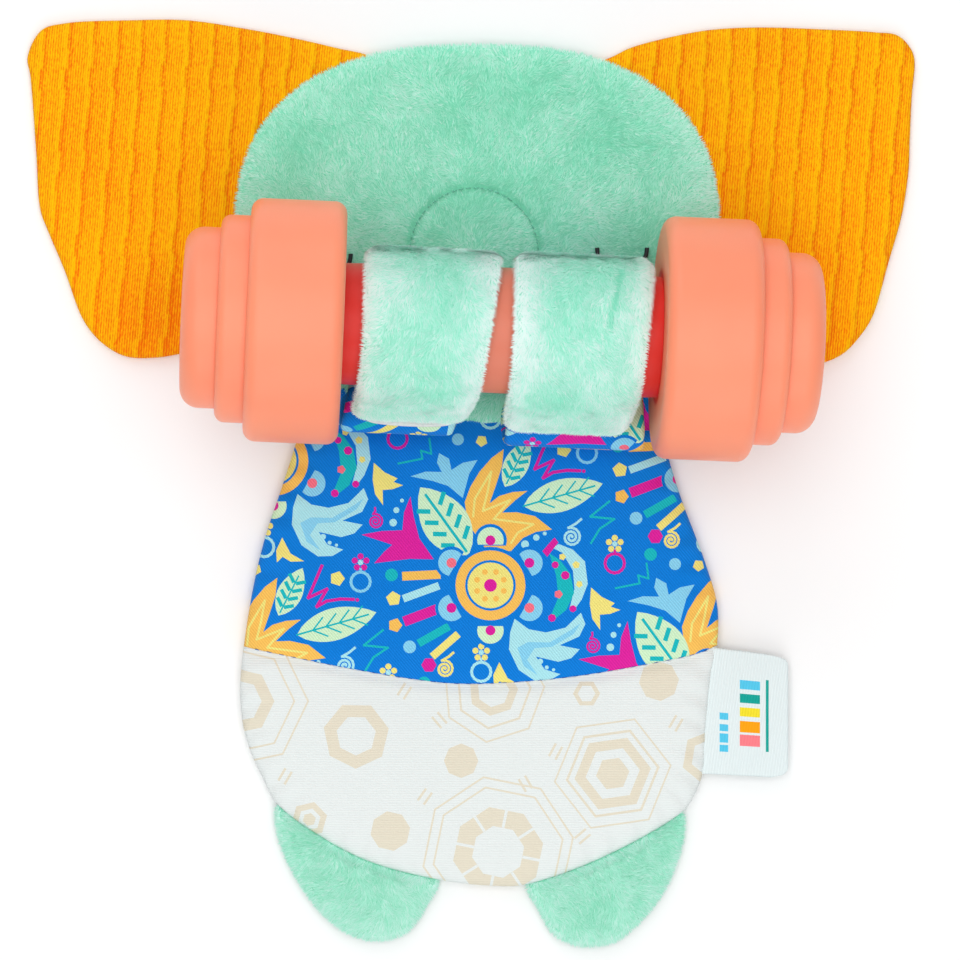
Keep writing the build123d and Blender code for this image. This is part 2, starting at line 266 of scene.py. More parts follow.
@dataclass(frozen=True)
class MouldedPlastic:
    """Satin injection-moulded plastic: even colour, a faint mottle and a soft highlight; on the bar, painted
    shade and painted reflected glow.
    """

    name: str
    colour: str
    deep: str
    roughness: float = 0.42
    # the way to the bar's own frame (X along it), the bar's radius and half its length, for the painted shade
    # and glow on the bar
    bar: tuple[Matrix, float, float] | None = None

    def _bar_colour(self, tree: bpy.types.NodeTree, place: bpy.types.NodeSocket,
                    colour: bpy.types.NodeSocket) -> bpy.types.NodeSocket:
        """Paint shade and the plates' reflected glow onto the bar: darker than the plates along it, deep red
        close to the plates.
        """
        turn, radius, half = self.bar
        own = add_node(tree, "ShaderNodeMapping", {"Vector": place, "Location": turn.translation,
                                                   "Rotation": turn.to_euler()})
        flat = add_node(tree, "ShaderNodeVectorMath", {0: own.outputs["Vector"], 1: (0, 1, 1)},
                        operation="MULTIPLY")
        away = add_node(tree, "ShaderNodeVectorMath", {0: flat.outputs[0]}, operation="LENGTH")
        on_bar = add_node(tree, "ShaderNodeMapRange", {"Value": away.outputs["Value"], 1: (radius + 1.8) * MM,
                                                       2: (radius + 0.6) * MM})
        split = add_node(tree, "ShaderNodeSeparateXYZ", {"Vector": own.outputs["Vector"]})
        along = add_node(tree, "ShaderNodeMath", {0: split.outputs["X"]}, operation="ABSOLUTE")
        between = add_node(tree, "ShaderNodeMapRange", {"Value": along.outputs[0], 1: (half + 1.0) * MM,
                                                        2: (half + 0.2) * MM})
        bare = add_node(tree, "ShaderNodeMath", {0: on_bar.outputs[0], 1: between.outputs[0]},
                        operation="MULTIPLY")
        # painted light: salmon shade along the bar's middle, deepening to the red glow that the plates throw
        # on it near them
        near = add_node(tree, "ShaderNodeMapRange", {"Value": along.outputs[0], 1: 16 * MM, 2: 33 * MM},
                        interpolation_type="SMOOTHSTEP")
        painted_bar_light = add_node(tree, "ShaderNodeMix", {"Factor": near.outputs[0], 6: linear("DE7A5E"),
                                                7: linear("E61C00")}, data_type="RGBA")
        mix = add_node(tree, "ShaderNodeMix", {"Factor": bare.outputs[0], 6: colour, 7: painted_bar_light.outputs[2]},
                       data_type="RGBA")
        return mix.outputs[2]

    def material(self) -> bpy.types.Material:
        """Build the plastic: slight flow mottle and a very fine spark-eroded grain."""
        material, tree = new_material(self.name)
        place = add_node(tree, "ShaderNodeTexCoord").outputs["Object"]
        flow = add_node(tree, "ShaderNodeTexNoise", {"Vector": place, "Scale": 1 / (25 * MM), "Detail": 2.0})
        mix = add_node(tree, "ShaderNodeMix", {"Factor": flow.outputs["Fac"], 6: linear(self.deep),
                                               7: linear(self.colour)}, data_type="RGBA")
        base = self._bar_colour(tree, place, mix.outputs[2]) if self.bar else mix.outputs[2]
        grain = add_node(tree, "ShaderNodeTexNoise",
                         {"Vector": place, "Scale": 1 / (0.6 * MM), "Detail": 2.0})
        bump = add_node(tree, "ShaderNodeBump", {"Height": grain.outputs["Fac"], "Strength": 0.15,
                                                 "Distance": 0.05 * MM})
        close_shader(tree, {"Base Color": base, "Roughness": self.roughness,
                            "Normal": bump.outputs["Normal"], "IOR": 1.5, "Subsurface Weight": 0.15,
                            "Subsurface Radius": (2 * MM, 1 * MM, 0.6 * MM), "Subsurface Scale": 1.0})
        return material


@dataclass(frozen=True)
class TwistedThread:
    """Rayon or polyester thread: glossy twisted strands laid side by side."""

    name: str
    colour: str
    twist_mm: float = 0.5

    def material(self) -> bpy.types.Material:
        """Build the thread: a fine slanting twist in colour and bump."""
        material, tree = new_material(self.name)
        place = add_node(tree, "ShaderNodeTexCoord").outputs["Object"]
        twist = add_node(tree, "ShaderNodeTexWave",
                         {"Vector": place, "Scale": WAVE_PERIOD / (self.twist_mm * MM)},
                         bands_direction="DIAGONAL")
        base = linear(self.colour)
        dark = tuple(c * 0.6 for c in base[:3]) + (1.0,)
        mix = add_node(tree, "ShaderNodeMix", {"Factor": twist.outputs["Fac"], 6: dark, 7: base},
                       data_type="RGBA")
        bump = add_node(tree, "ShaderNodeBump", {"Height": twist.outputs["Fac"], "Strength": 0.5,
                                                 "Distance": 0.1 * MM})
        close_shader(tree, {"Base Color": mix.outputs[2], "Roughness": 0.45,
                            "Normal": bump.outputs["Normal"]})
        return material


# ------------------------------------------------------------------ outlines
def rounded(control: Sequence[tuple[float, float]], step: float, closed: bool = True) -> Points:
    """Draw a smooth line through given points, evenly stepped.

    Args:
        control: the points, in order.
        step: distance between the points returned.
        closed: whether the line comes back to its start.

    Returns:
        The line's points.
    """
    knots = np.array(control, float)
    count = len(knots)
    spans = count if closed else count - 1
    line = []
    for i in range(spans):
        if closed:
            p0, p1, p2, p3 = (knots[(i + k - 1) % count] for k in range(4))
        else:
            p0, p1, p2, p3 = (knots[min(max(i + k - 1, 0), count - 1)] for k in range(4))
        # centripetal Catmull-Rom, which makes no loops at uneven spacing
        t = [0.0]
        for a, b in ((p0, p1), (p1, p2), (p2, p3)):
            t.append(t[-1] + max(math.sqrt(np.linalg.norm(b - a)), 1e-6))
        for s in np.linspace(t[1], t[2], 24, endpoint=False):
            a1 = (t[1] - s) / (t[1] - t[0]) * p0 + (s - t[0]) / (t[1] - t[0]) * p1
            a2 = (t[2] - s) / (t[2] - t[1]) * p1 + (s - t[1]) / (t[2] - t[1]) * p2
            a3 = (t[3] - s) / (t[3] - t[2]) * p2 + (s - t[2]) / (t[3] - t[2]) * p3
            b1 = (t[2] - s) / (t[2] - t[0]) * a1 + (s - t[0]) / (t[2] - t[0]) * a2
            b2 = (t[3] - s) / (t[3] - t[1]) * a2 + (s - t[1]) / (t[3] - t[1]) * a3
            line.append((t[2] - s) / (t[2] - t[1]) * b1 + (s - t[1]) / (t[2] - t[1]) * b2)
    if not closed:
        line.append(knots[-1])
    return stepped(np.array(line), step, closed)


def stepped(line: Points, step: float, closed: bool) -> Points:
    """Space a line's points evenly.

    Args:
        line: the points.
        step: the distance wanted between points.
        closed: whether the line comes back to its start.

    Returns:
        The evenly spaced points.
    """
    if closed:
        line = np.vstack([line, line[:1]])
    lengths = np.concatenate([[0], np.cumsum(np.linalg.norm(np.diff(line, axis=0), axis=1))])
    count = max(int(round(lengths[-1] / step)), 3)
    places = np.linspace(0, lengths[-1], count + 1)
    if closed:
        places = places[:-1]
    return np.stack([np.interp(places, lengths, line[:, k]) for k in range(2)], 1)


def divided(line: Points, step: float) -> Points:
    """Add places along a closed line's long edges.

    Args:
        line: the line's corners.
        step: the longest edge allowed.

    Returns:
        The corners and the added places.
    """
    places = []
    for a, b in zip(line, np.roll(line, -1, axis=0)):
        count = max(math.ceil(float(np.linalg.norm(b - a)) / step), 1)
        places += [a + (b - a) * i / count for i in range(count)]
    return np.array(places)


def superellipse(centre: tuple[float, float], half: tuple[float, float], power: float, step: float) -> Points:
    """Draw a rounded, squarish closed line.

    Args:
        centre: its middle.
        half: its half width and half height.
        power: 2 is an ellipse, more is squarer.
        step: distance between points.

    Returns:
        The line's points.
    """
    turn = np.linspace(0, 2 * math.pi, 720, endpoint=False)
    across, up = np.cos(turn), np.sin(turn)
    x = centre[0] + half[0] * np.sign(across) * np.abs(across) ** (2 / power)
    y = centre[1] + half[1] * np.sign(up) * np.abs(up) ** (2 / power)
    return stepped(np.stack([x, y], 1), step, True)


def edge_distance(places: Points, line: Points, closed: bool = True) -> tuple[Points, Points]:
    """Measure how far places are from a line, and where along it.

    Args:
        places: n by 2 places.
        line: the line's points.
        closed: whether the line is closed.

    Returns:
        The distances, and the nearest places along the line as lengths.
    """
    starts = line if closed else line[:-1]
    ends = np.roll(line, -1, axis=0) if closed else line[1:]
    spans = ends - starts
    lengths = np.maximum(np.linalg.norm(spans, axis=1), 1e-9)
    before = np.concatenate([[0], np.cumsum(lengths)[:-1]])
    best = np.empty(len(places))
    along = np.empty(len(places))
    for low in range(0, len(places), 2000):
        part = places[low:low + 2000]
        rel = part[:, None, :] - starts[None]
        t = np.clip((rel * spans[None]).sum(2) / lengths[None] ** 2, 0, 1)
        gap = np.linalg.norm(rel - t[..., None] * spans[None], axis=2)
        pick = gap.argmin(1)
        rows = np.arange(len(part))
        best[low:low + 2000] = gap[rows, pick]
        along[low:low + 2000] = before[pick] + t[rows, pick] * lengths[pick]
    return best, along


def inside(places: Points, line: Points) -> Points:
    """Say which places lie inside a closed line.

    Args:
        places: n by 2 places.
        line: the closed line.

    Returns:
        True for each place inside.
    """
    starts, ends = line, np.roll(line, -1, axis=0)
    result = np.zeros(len(places), bool)
    for (x0, y0), (x1, y1) in zip(starts, ends):
        crosses = (y0 > places[:, 1]) != (y1 > places[:, 1])
        if y1 == y0:
            continue
        at = x0 + (places[:, 1] - y0) * (x1 - x0) / (y1 - y0)
        result ^= crosses & (places[:, 0] < at)
    return result


def smooth_noise(places: Points, size: float, seed: float) -> Points:
    """Give slow random values from -1 to 1.

    Args:
        places: n by 2 places.
        size: the width of one patch.
        seed: picks the pattern.

    Returns:
        One value for each place.
    """
    return np.array([noise.noise(Vector((x / size, y / size, seed))) for x, y in places])


# ------------------------------------------------------------------ how flat cloth is put in space
class Lay(Protocol):
    """Puts a flat pattern's places, with a height above it, in space."""

    def put(self, places: Points, height: Points) -> Points:
        """Return n by 3 points for n flat places and heights."""


@dataclass
class FlatLay:
    """A pattern that lies flat: its places are the toy's own X and Y."""

    def put(self, places: Points, height: Points) -> Points:
        """Return the places with the height as Z, kept just above what the toy lies on."""
        return np.column_stack([places, np.maximum(height, 0.02)])


@dataclass
class GripLay:
    """A pattern wrapped round the bar: first along the bar, then along a path in its cross-section."""

    centre: Points
    axis: Points
    path: Points            # the path's points: towards the head, and up

    def __post_init__(self) -> None:
        """Work out the cross-section's directions and the path's lengths."""
        self.axis = self.axis / np.linalg.norm(self.axis)
        self.up = np.array([0, 0, 1.0]) - self.axis * self.axis[2]
        self.up /= np.linalg.norm(self.up)
        self.out = np.cross(self.up, self.axis)
        steps = np.linalg.norm(np.diff(self.path, axis=0), axis=1)
        self.lengths = np.concatenate([[0], np.cumsum(steps)])

    def put(self, places: Points, height: Points) -> Points:
        """Return the points at the path's place, moved out from it by the height."""
        s = places[:, 1]
        last = self.lengths[-1]
        clipped = np.clip(s, 0, last)
        point = np.stack([np.interp(clipped, self.lengths, self.path[:, k]) for k in range(2)], 1)
        ahead = np.stack([np.interp(np.clip(s + 0.6, 0, last), self.lengths,
                                    self.path[:, k]) for k in range(2)], 1)
        behind = np.stack([np.interp(np.clip(s - 0.6, 0, last), self.lengths,
                                     self.path[:, k]) for k in range(2)], 1)
        tangent = ahead - behind
        tangent /= np.maximum(np.linalg.norm(tangent, axis=1, keepdims=True), 1e-9)
        point = point + tangent * (s - clipped)[:, None]
        normal = np.stack([tangent[:, 1], -tangent[:, 0]], 1)
        flat = point + normal * height[:, None]
        return (self.centre + places[:, :1] * self.axis + flat[:, :1] * self.out + flat[:, 1:] * self.up)


# ------------------------------------------------------------------ padded cloth
@dataclass
class Crown:
    """The two heights of a stuffed pad: full in the middle, rolling down to a seam at its edge."""

    line: Points
    seam: float
    front: float
    back: float
    roll: float = 9.0           # width of the rolled edge
    power: float = 2.2
    pucker: float = 0.25        # depth of the small folds that the seam draws in
    pucker_every: float = 7.0
    slump: float = 0.35         # slow unevenness of the filling
    seed: float = 1.0
    valleys: list[tuple[Points, float, float]] = field(default_factory=list)
    relief: Callable[[Points], Points] | None = None
    cover: Points | None = None     # outline of a piece that lies over this one and presses it down
    cover_height: float = 1.6
    cover_slope: float = 0.55

    def _rise(self, places: Points) -> tuple[Points, Points]:
        """Return how full the pad is at each place, from 0 to 1, and the seam's folds there."""
        gap, along = edge_distance(places, self.line)
        share = np.clip(gap / self.roll, 0, 1)
        rise = (1 - (1 - share) ** self.power) ** (1 / self.power)
        wave = np.sin(2 * math.pi * along / self.pucker_every + 3 * smooth_noise(places, 25, self.seed + 9))
        fold = self.pucker * wave * np.exp(-((gap - 2.5) / 4.0) ** 2) * np.clip(gap / 1.5, 0, 1)
        return rise, fold

    def heights(self, places: Points) -> tuple[Points, Points]:
        """Return the front's and the back's heights at places."""
        rise, fold = self._rise(places)
        slow = self.slump * smooth_noise(places, 28, self.seed) * rise
        top = self.seam + (self.front - self.seam) * rise + slow + fold
        low = self.seam + (self.back - self.seam) * rise
        for line, width, depth in self.valleys:
            gap, _ = edge_distance(places, line, closed=False)
            top = top - depth * np.exp(-(gap / width) ** 2)
        if self.relief is not None:
            top = top + self.relief(places) * rise
        if self.cover is not None:
            gap, _ = edge_distance(places, self.cover)
            gap[inside(places, self.cover)] = 0
            top = np.minimum(top, self.cover_height + self.cover_slope * gap)
        return top, low


@dataclass
class Ink:
    """A printed shape: its outline in the flat pattern, and its dye."""

    outline: Points
    dye: Dye


@dataclass
class Pad:
    """A closed soft piece: a flat pattern cut with its print, raised to a front and a back."""

    name: str
    line: Points
    crown: Crown
    lay: Lay
    spacing: float
    inks: list[Ink] = field(default_factory=list)
    back_slot: int | None = None    # material of the whole back, where it has no print

    def build(self, materials: Sequence[bpy.types.Material]) -> bpy.types.Object:
        """Cut, raise and sew the pad.

        Args:
            materials: one material for each ink number.

        Returns:
            The finished mesh object.
        """
        flat, faces, numbers, rim = self._cut()
        top, low = self.crown.heights(flat)
        on_rim = np.zeros(len(flat), bool)
        on_rim[rim] = True
        seam_gap, _ = edge_distance(flat, self.crown.line)
        sewn = on_rim & (seam_gap < 0.05)
        top[sewn] = low[sewn] = self.crown.seam
        upper = self.lay.put(flat, top)
        lower = self.lay.put(flat, low)
        count = len(flat)
        back_index = np.arange(count) + count
        back_index[sewn] = np.flatnonzero(sewn)
        vertices = np.vstack([upper, lower])
        polygons = [tuple(f) for f in faces] + [tuple(back_index[i] for i in reversed(f)) for f in faces]
        inks = list(numbers) + (list(numbers) if self.back_slot is None else [self.back_slot] * len(faces))
        for a, b in self._rim_edges(faces):
            wall = (b, a, back_index[a], back_index[b])
            corners = tuple(dict.fromkeys(int(i) for i in wall))
            if len(corners) >= 3:
                polygons.append(corners)
                inks.append(0)
        used = sorted({int(i) for polygon in polygons for i in polygon})
        renumber = {old: new for new, old in enumerate(used)}
        mesh = bpy.data.meshes.new(self.name)
        mesh.from_pydata((vertices[used] * MM).tolist(), [],
                         [[renumber[int(i)] for i in p] for p in polygons])
        for material in materials:
            mesh.materials.append(material)
        mesh.polygons.foreach_set("material_index", np.array(inks, np.int32))
        mesh.polygons.foreach_set("use_smooth", np.ones(len(polygons), bool))
        mesh.validate()
        piece = bpy.data.objects.new(self.name, mesh)
        bpy.context.scene.collection.objects.link(piece)
        return piece

    def _cut(self) -> tuple[Points, list[list[int]], list[int], list[int]]:
        """Triangulate the pattern with its printed shapes.

        Returns:
            The flat places, the triangles, the ink of each, and the rim's places.
        """
        places: list[tuple[float, float]] = []
        polygons = []
        for outline in [self.line] + [divided(ink.outline, self.spacing) for ink in self.inks]:
            start = len(places)
            places += [tuple(p) for p in outline]
            order = list(range(start, len(places)))
            polygons.append(order if self._area(outline) > 0 else order[::-1])
        low, high = self.line.min(0), self.line.max(0)
        xs = np.arange(low[0], high[0], self.spacing)
        ys = np.arange(low[1], high[1], self.spacing * 0.866)
        grid = np.array([(x + (self.spacing / 2 if row % 2 else 0), y)
                         for row, y in enumerate(ys) for x in xs])
        grid = grid[inside(grid, self.line)]
        gap, _ = edge_distance(grid, self.line)
        grid = grid[gap > self.spacing * 0.45]
        rings = [ring for ring in self._rings() if len(ring)]
        free = np.vstack([grid] + rings)
        places += [tuple(p) for p in free]
        out = geometry.delaunay_2d_cdt([Vector(p) for p in places], [], polygons, 1, 1e-4, True)
        flat = np.array([tuple(v) for v in out[0]])
        faces, numbers = [], []
        for face, origins in zip(out[2], out[5]):
            if 0 not in origins:
                continue
            top = max(origins)
            faces.append(list(face))
            numbers.append(self.inks[top - 1].dye.value if top else Dye.GROUND.value)
        signed = [self._area(flat[f]) for f in faces]
        faces = [f if a > 0 else f[::-1] for f, a in zip(faces, signed)]
        rim = sorted({i for edge in self._rim_edges(faces) for i in edge})
        return flat, faces, numbers, rim

    def _rings(self) -> list[Points]:
        """Return extra places close inside the edge, where the pad rolls over."""
        after = np.roll(self.line, -1, axis=0) - np.roll(self.line, 1, axis=0)
        normal = np.stack([-after[:, 1], after[:, 0]], 1)
        normal /= np.maximum(np.linalg.norm(normal, axis=1, keepdims=True), 1e-9)
        if self._area(self.line) < 0:
            normal = -normal
        rings = []
        for distance in (0.35, 0.9, 1.7):
            ring = self.line + normal * distance
            gap, _ = edge_distance(ring, self.line)
            ring = ring[(gap > distance * 0.9) & inside(ring, self.line)]
            rings.append(ring)
        return rings

    @staticmethod
    def _area(line: Points) -> float:
        """Return a polygon's signed area."""
        x, y = line[:, 0], line[:, 1]
        return float((x * np.roll(y, -1) - np.roll(x, -1) * y).sum() / 2)

    @staticmethod
    def _rim_edges(faces: list[list[int]]) -> list[tuple[int, int]]:
        """Return the edges that only one triangle has."""
        seen: dict[tuple[int, int], tuple[int, int]] = {}
        for face in faces:
            for a, b in zip(face, face[1:] + face[:1]):
                key = (min(a, b), max(a, b))
                if key in seen:
                    seen[key] = (-1, -1)
                else:
                    seen[key] = (a, b)
        return [edge for edge in seen.values() if edge[0] >= 0]


# ------------------------------------------------------------------ pile
@dataclass
class HeightMap:
    """A pad's front or back sampled on a fine grid, so that thousands of fibres find their height fast."""

    crown: Crown
    front: bool = True
    cell: float = 0.8
    margin: float = 4.0

    def __post_init__(self) -> None:
        """Sample the crown, and let the height fall away outside the seam."""
        low = self.crown.line.min(0) - self.margin
        high = self.crown.line.max(0) + self.margin
        self.low = low
        self.count = np.ceil((high - low) / self.cell).astype(int) + 1
        xs = low[0] + np.arange(self.count[0]) * self.cell
        ys = low[1] + np.arange(self.count[1]) * self.cell
        grid = np.array([(x, y) for x in xs for y in ys])
        gap, _ = edge_distance(grid, self.crown.line)
        signed = np.where(inside(grid, self.crown.line), gap, -gap)
        height = self.crown.heights(grid)[0 if self.front else 1]
        outside = signed < 0
        height[outside] = self.crown.seam + 0.5 * signed[outside]
        self.height = height.reshape(self.count)
        self.gap = signed.reshape(self.count)

    def at(self, places: Points) -> tuple[Points, Points]:
        """Return the height and the distance inside the seam at places."""
        spot = (places - self.low) / self.cell
        cell = np.clip(np.floor(spot).astype(int), 0, self.count - 2)
        share = np.clip(spot - cell, 0, 1)
        i, j = cell[:, 0], cell[:, 1]
        u, v = share[:, 0], share[:, 1]
        mixed = []
        for grid in (self.height, self.gap):
            near = grid[i, j] * (1 - u) + grid[i + 1, j] * u
            far = grid[i, j + 1] * (1 - u) + grid[i + 1, j + 1] * u
            mixed.append(near * (1 - v) + far * v)
        return mixed[0], mixed[1]

    def outward(self, places: Points) -> Points:
        """Return the unit direction towards the nearest edge at places."""
        step = self.cell
        across = self.at(places + [step, 0])[1] - self.at(places - [step, 0])[1]
        along = self.at(places + [0, step])[1] - self.at(places - [0, step])[1]
        way = -np.stack([across, along], 1)
        return way / np.maximum(np.linalg.norm(way, axis=1, keepdims=True), 1e-6)


@dataclass
class Pile:
    """Short plush fibres over a pad: thin three-cornered blades in several tones, combed in whorls."""

    name: str
    pad: Pad
    count: int
    seed: int
    front: bool = True
    crown_point: tuple[float, float] = (0.0, 0.0)   # the nap is combed outwards from here
    length: float = 1.6
    width: float = 0.2
    lean: float = 76.0          # degrees from upright
    whorl: float = 1.5          # how far the nap wanders from its main direction, in radians
    whorl_mm: float = 13.0
    rim_share: float = 0.3      # share of the blades at the seam that stand up or down at random
    edge_glow: float = 0.35     # painted light: how much paler the fibres are near an edge, where their tips catch the light
    glow_mm: float = 3.5
    pull: float = 0.8           # share by which fibres at the edge turn outwards
    pull_mm: float = 3.0
    swirl: float = 1.4          # small swirls within the whorls, in radians
    swirl_mm: float = 4.0
    light_lift: float = 1.2     # how far the shading leans upwards, so that steep sides stay bright
    speckle: float = 0.24       # spread of tone from fibre to fibre
    mid_tone: float = 0.42      # from dark, 0, to light, 1
    cloud: float = 0.34         # how far the tone drifts in wide patches, and in small ones
    cloud_mm: float = 13
    tuft: float = 0.16
    tuft_mm: float = 3.2
    # lines along which the nap parts, with painted shade along them
    partings: list[Points] = field(default_factory=list)
    cover: Points | None = None     # outline of a piece that lies over this one, where no pile grows

    def _places(self, rng: np.random.Generator, heights: HeightMap) -> Points:
        """Scatter the blades' roots evenly inside the pad."""
        low, high = self.pad.line.min(0), self.pad.line.max(0)
        found: list[Points] = []
        need = self.count
        while need > 0:
            tries = low + rng.random((need * 2, 2)) * (high - low)
            allowed = heights.at(tries)[1] > 0.15
            if self.cover is not None:
                allowed &= ~inside(tries, self.cover)
            keep = tries[allowed][:need]
            found.append(keep)
            need -= len(keep)
        return np.vstack(found)

    def build(self, tones: Sequence[bpy.types.Material]) -> bpy.types.Object:
        """Grow the pile.

        Args:
            tones: the fibre materials, dark to light.

        Returns:
            The finished mesh object.
        """
        rng = np.random.default_rng(self.seed)
        heights = HeightMap(self.pad.crown, self.front)
        roots = self._places(rng, heights)
        count = len(roots)
        _, gap = heights.at(roots)
        out = heights.outward(roots)
        away = roots - np.array(self.crown_point)
        wander = self.whorl * smooth_noise(roots, self.whorl_mm, self.seed + 0.3)
        turn = np.arctan2(away[:, 1], away[:, 0]) + wander
        turn += self.swirl * smooth_noise(roots, self.swirl_mm, self.seed + 5.1) + rng.normal(0, 0.3, count)
        nap = np.stack([np.cos(turn), np.sin(turn)], 1)
        pull = self.pull * np.exp(-np.maximum(gap, 0) / self.pull_mm)
        nap = nap * (1 - pull[:, None]) + out * pull[:, None]
        shade = np.zeros(count)
        # painted shade along the partings, where the nap opens into a groove
        for line in self.partings:
            near, _ = edge_distance(roots, line, closed=False)
            shade += 0.6 * np.exp(-(near / 0.6) ** 2)
        nap /= np.maximum(np.linalg.norm(nap, axis=1, keepdims=True), 1e-6)
        on_rim = rng.random(count) < self.rim_share * np.exp(-gap / 1.2)
        lean = np.radians(np.clip(self.lean + rng.normal(0, 6, count), 25, 87))
        length = self.length * rng.uniform(0.6, 1.2, count) * (1 - 0.35 * np.exp(-np.maximum(gap, 0) / 1.5))
        reach = length * np.sin(lean)
        rise = length * np.cos(lean) * np.where(on_rim, rng.uniform(-1, 1, count), 1.0)
        tips = roots + nap * reach[:, None]
        side = np.stack([-nap[:, 1], nap[:, 0]], 1) * (self.width / 2)
        way = 1.0 if self.front else -1.0
        lay = self.pad.lay
        left, right = (lay.put(spot, heights.at(spot)[0]) for spot in (roots + side, roots - side))
        level = heights.at(roots)[0]
        tip = lay.put(tips, np.maximum(heights.at(tips)[0], level - 0.8 * reach) + way * rise)
        up = (lay.put(roots, level + 2.0) - lay.put(roots, level + 1.0)) * way
        if self.front:
            up = up + [0, 0, self.light_lift]
        corners = np.stack([left, right, tip], 1)
        wide = smooth_noise(roots, self.cloud_mm, self.seed + 2.2)
        small = smooth_noise(roots, self.tuft_mm, self.seed)
        tone = self.mid_tone + self.cloud * wide + self.tuft * small
        # painted light on the fibres near the edge, and painted shade along the partings
        glow = self.edge_glow * np.exp(-np.maximum(gap, 0) / self.glow_mm)
        tone += glow - shade + rng.normal(0, self.speckle, count)
        pick = np.clip((tone * len(tones)).astype(int), 0, len(tones) - 1)
        return blades(self.name, corners * MM, up, pick, tones)


def blades(name: str, corners: Points, up: Points, pick: Points,
           tones: Sequence[bpy.types.Material]) -> bpy.types.Object:
    """Make a mesh of loose triangles that are shaded much like the surface they grow on.

    Args:
        name: the piece's name.
        corners: three corners a blade, in metres.
        up: the surface's direction at each blade.
        pick: each blade's material number.
        tones: the materials.

    Returns:
        The mesh object.
    """
    count = len(corners)
    own = np.cross(corners[:, 1] - corners[:, 0], corners[:, 2] - corners[:, 0])
    own /= np.maximum(np.linalg.norm(own, axis=1, keepdims=True), 1e-12)
    turned = (own * up).sum(1) < 0
    corners[turned] = corners[turned][:, ::-1]
    own[turned] *= -1
    # shading that is mostly the surface's, so the pile reads as one soft coat and not as splinters
    mixed = 0.7 * up / np.linalg.norm(up, axis=1, keepdims=True) + 0.3 * own
    mixed /= np.linalg.norm(mixed, axis=1, keepdims=True)
    mesh = bpy.data.meshes.new(name)
    mesh.vertices.add(count * 3)
    mesh.vertices.foreach_set("co", corners.astype(np.float32).ravel())
    mesh.loops.add(count * 3)
    mesh.loops.foreach_set("vertex_index", np.arange(count * 3, dtype=np.int32))
    mesh.polygons.add(count)
    mesh.polygons.foreach_set("loop_start", np.arange(0, count * 3, 3, dtype=np.int32))
    for material in tones:
        mesh.materials.append(material)
    mesh.polygons.foreach_set("material_index", pick.astype(np.int32))
    mesh.update()
    mesh.validate()
    mesh.normals_split_custom_set(np.repeat(mixed, 3, axis=0).tolist())
    piece = bpy.data.objects.new(name, mesh)
    bpy.context.scene.collection.objects.link(piece)
    return piece


# ------------------------------------------------------------------ printed motifs
def disc(centre: tuple[float, float], radius: float, sides: int = 20, turn: float = 0.0) -> Points:
    """Draw a round or many-sided outline.

    Args:
        centre: its middle.
        radius: its radius.
        sides: corners round it.
        turn: where the first corner is, in degrees.

    Returns:
        The outline.
    """
    angles = math.radians(turn) + 2 * math.pi * np.arange(sides) / sides
    return np.stack([centre[0] + radius * np.cos(angles), centre[1] + radius * np.sin(angles)], 1)


def stroke(points: Sequence[tuple[float, float]], width: float) -> list[Points]:
    """Draw a line of even width as overlapping short bars.

    Args:
        points: the line's points.
        width: the line's width.

    Returns:
        One outline for each bar.
    """
    bars = []
    for a, b in zip(np.array(points[:-1], float), np.array(points[1:], float)):
        way = (b - a) / max(np.linalg.norm(b - a), 1e-9)
        side = np.array([-way[1], way[0]]) * width / 2
        tail = way * width * 0.35
        bars.append(np.array([a - tail + side, a - tail - side, b + tail - side, b + tail + side]))
    return bars


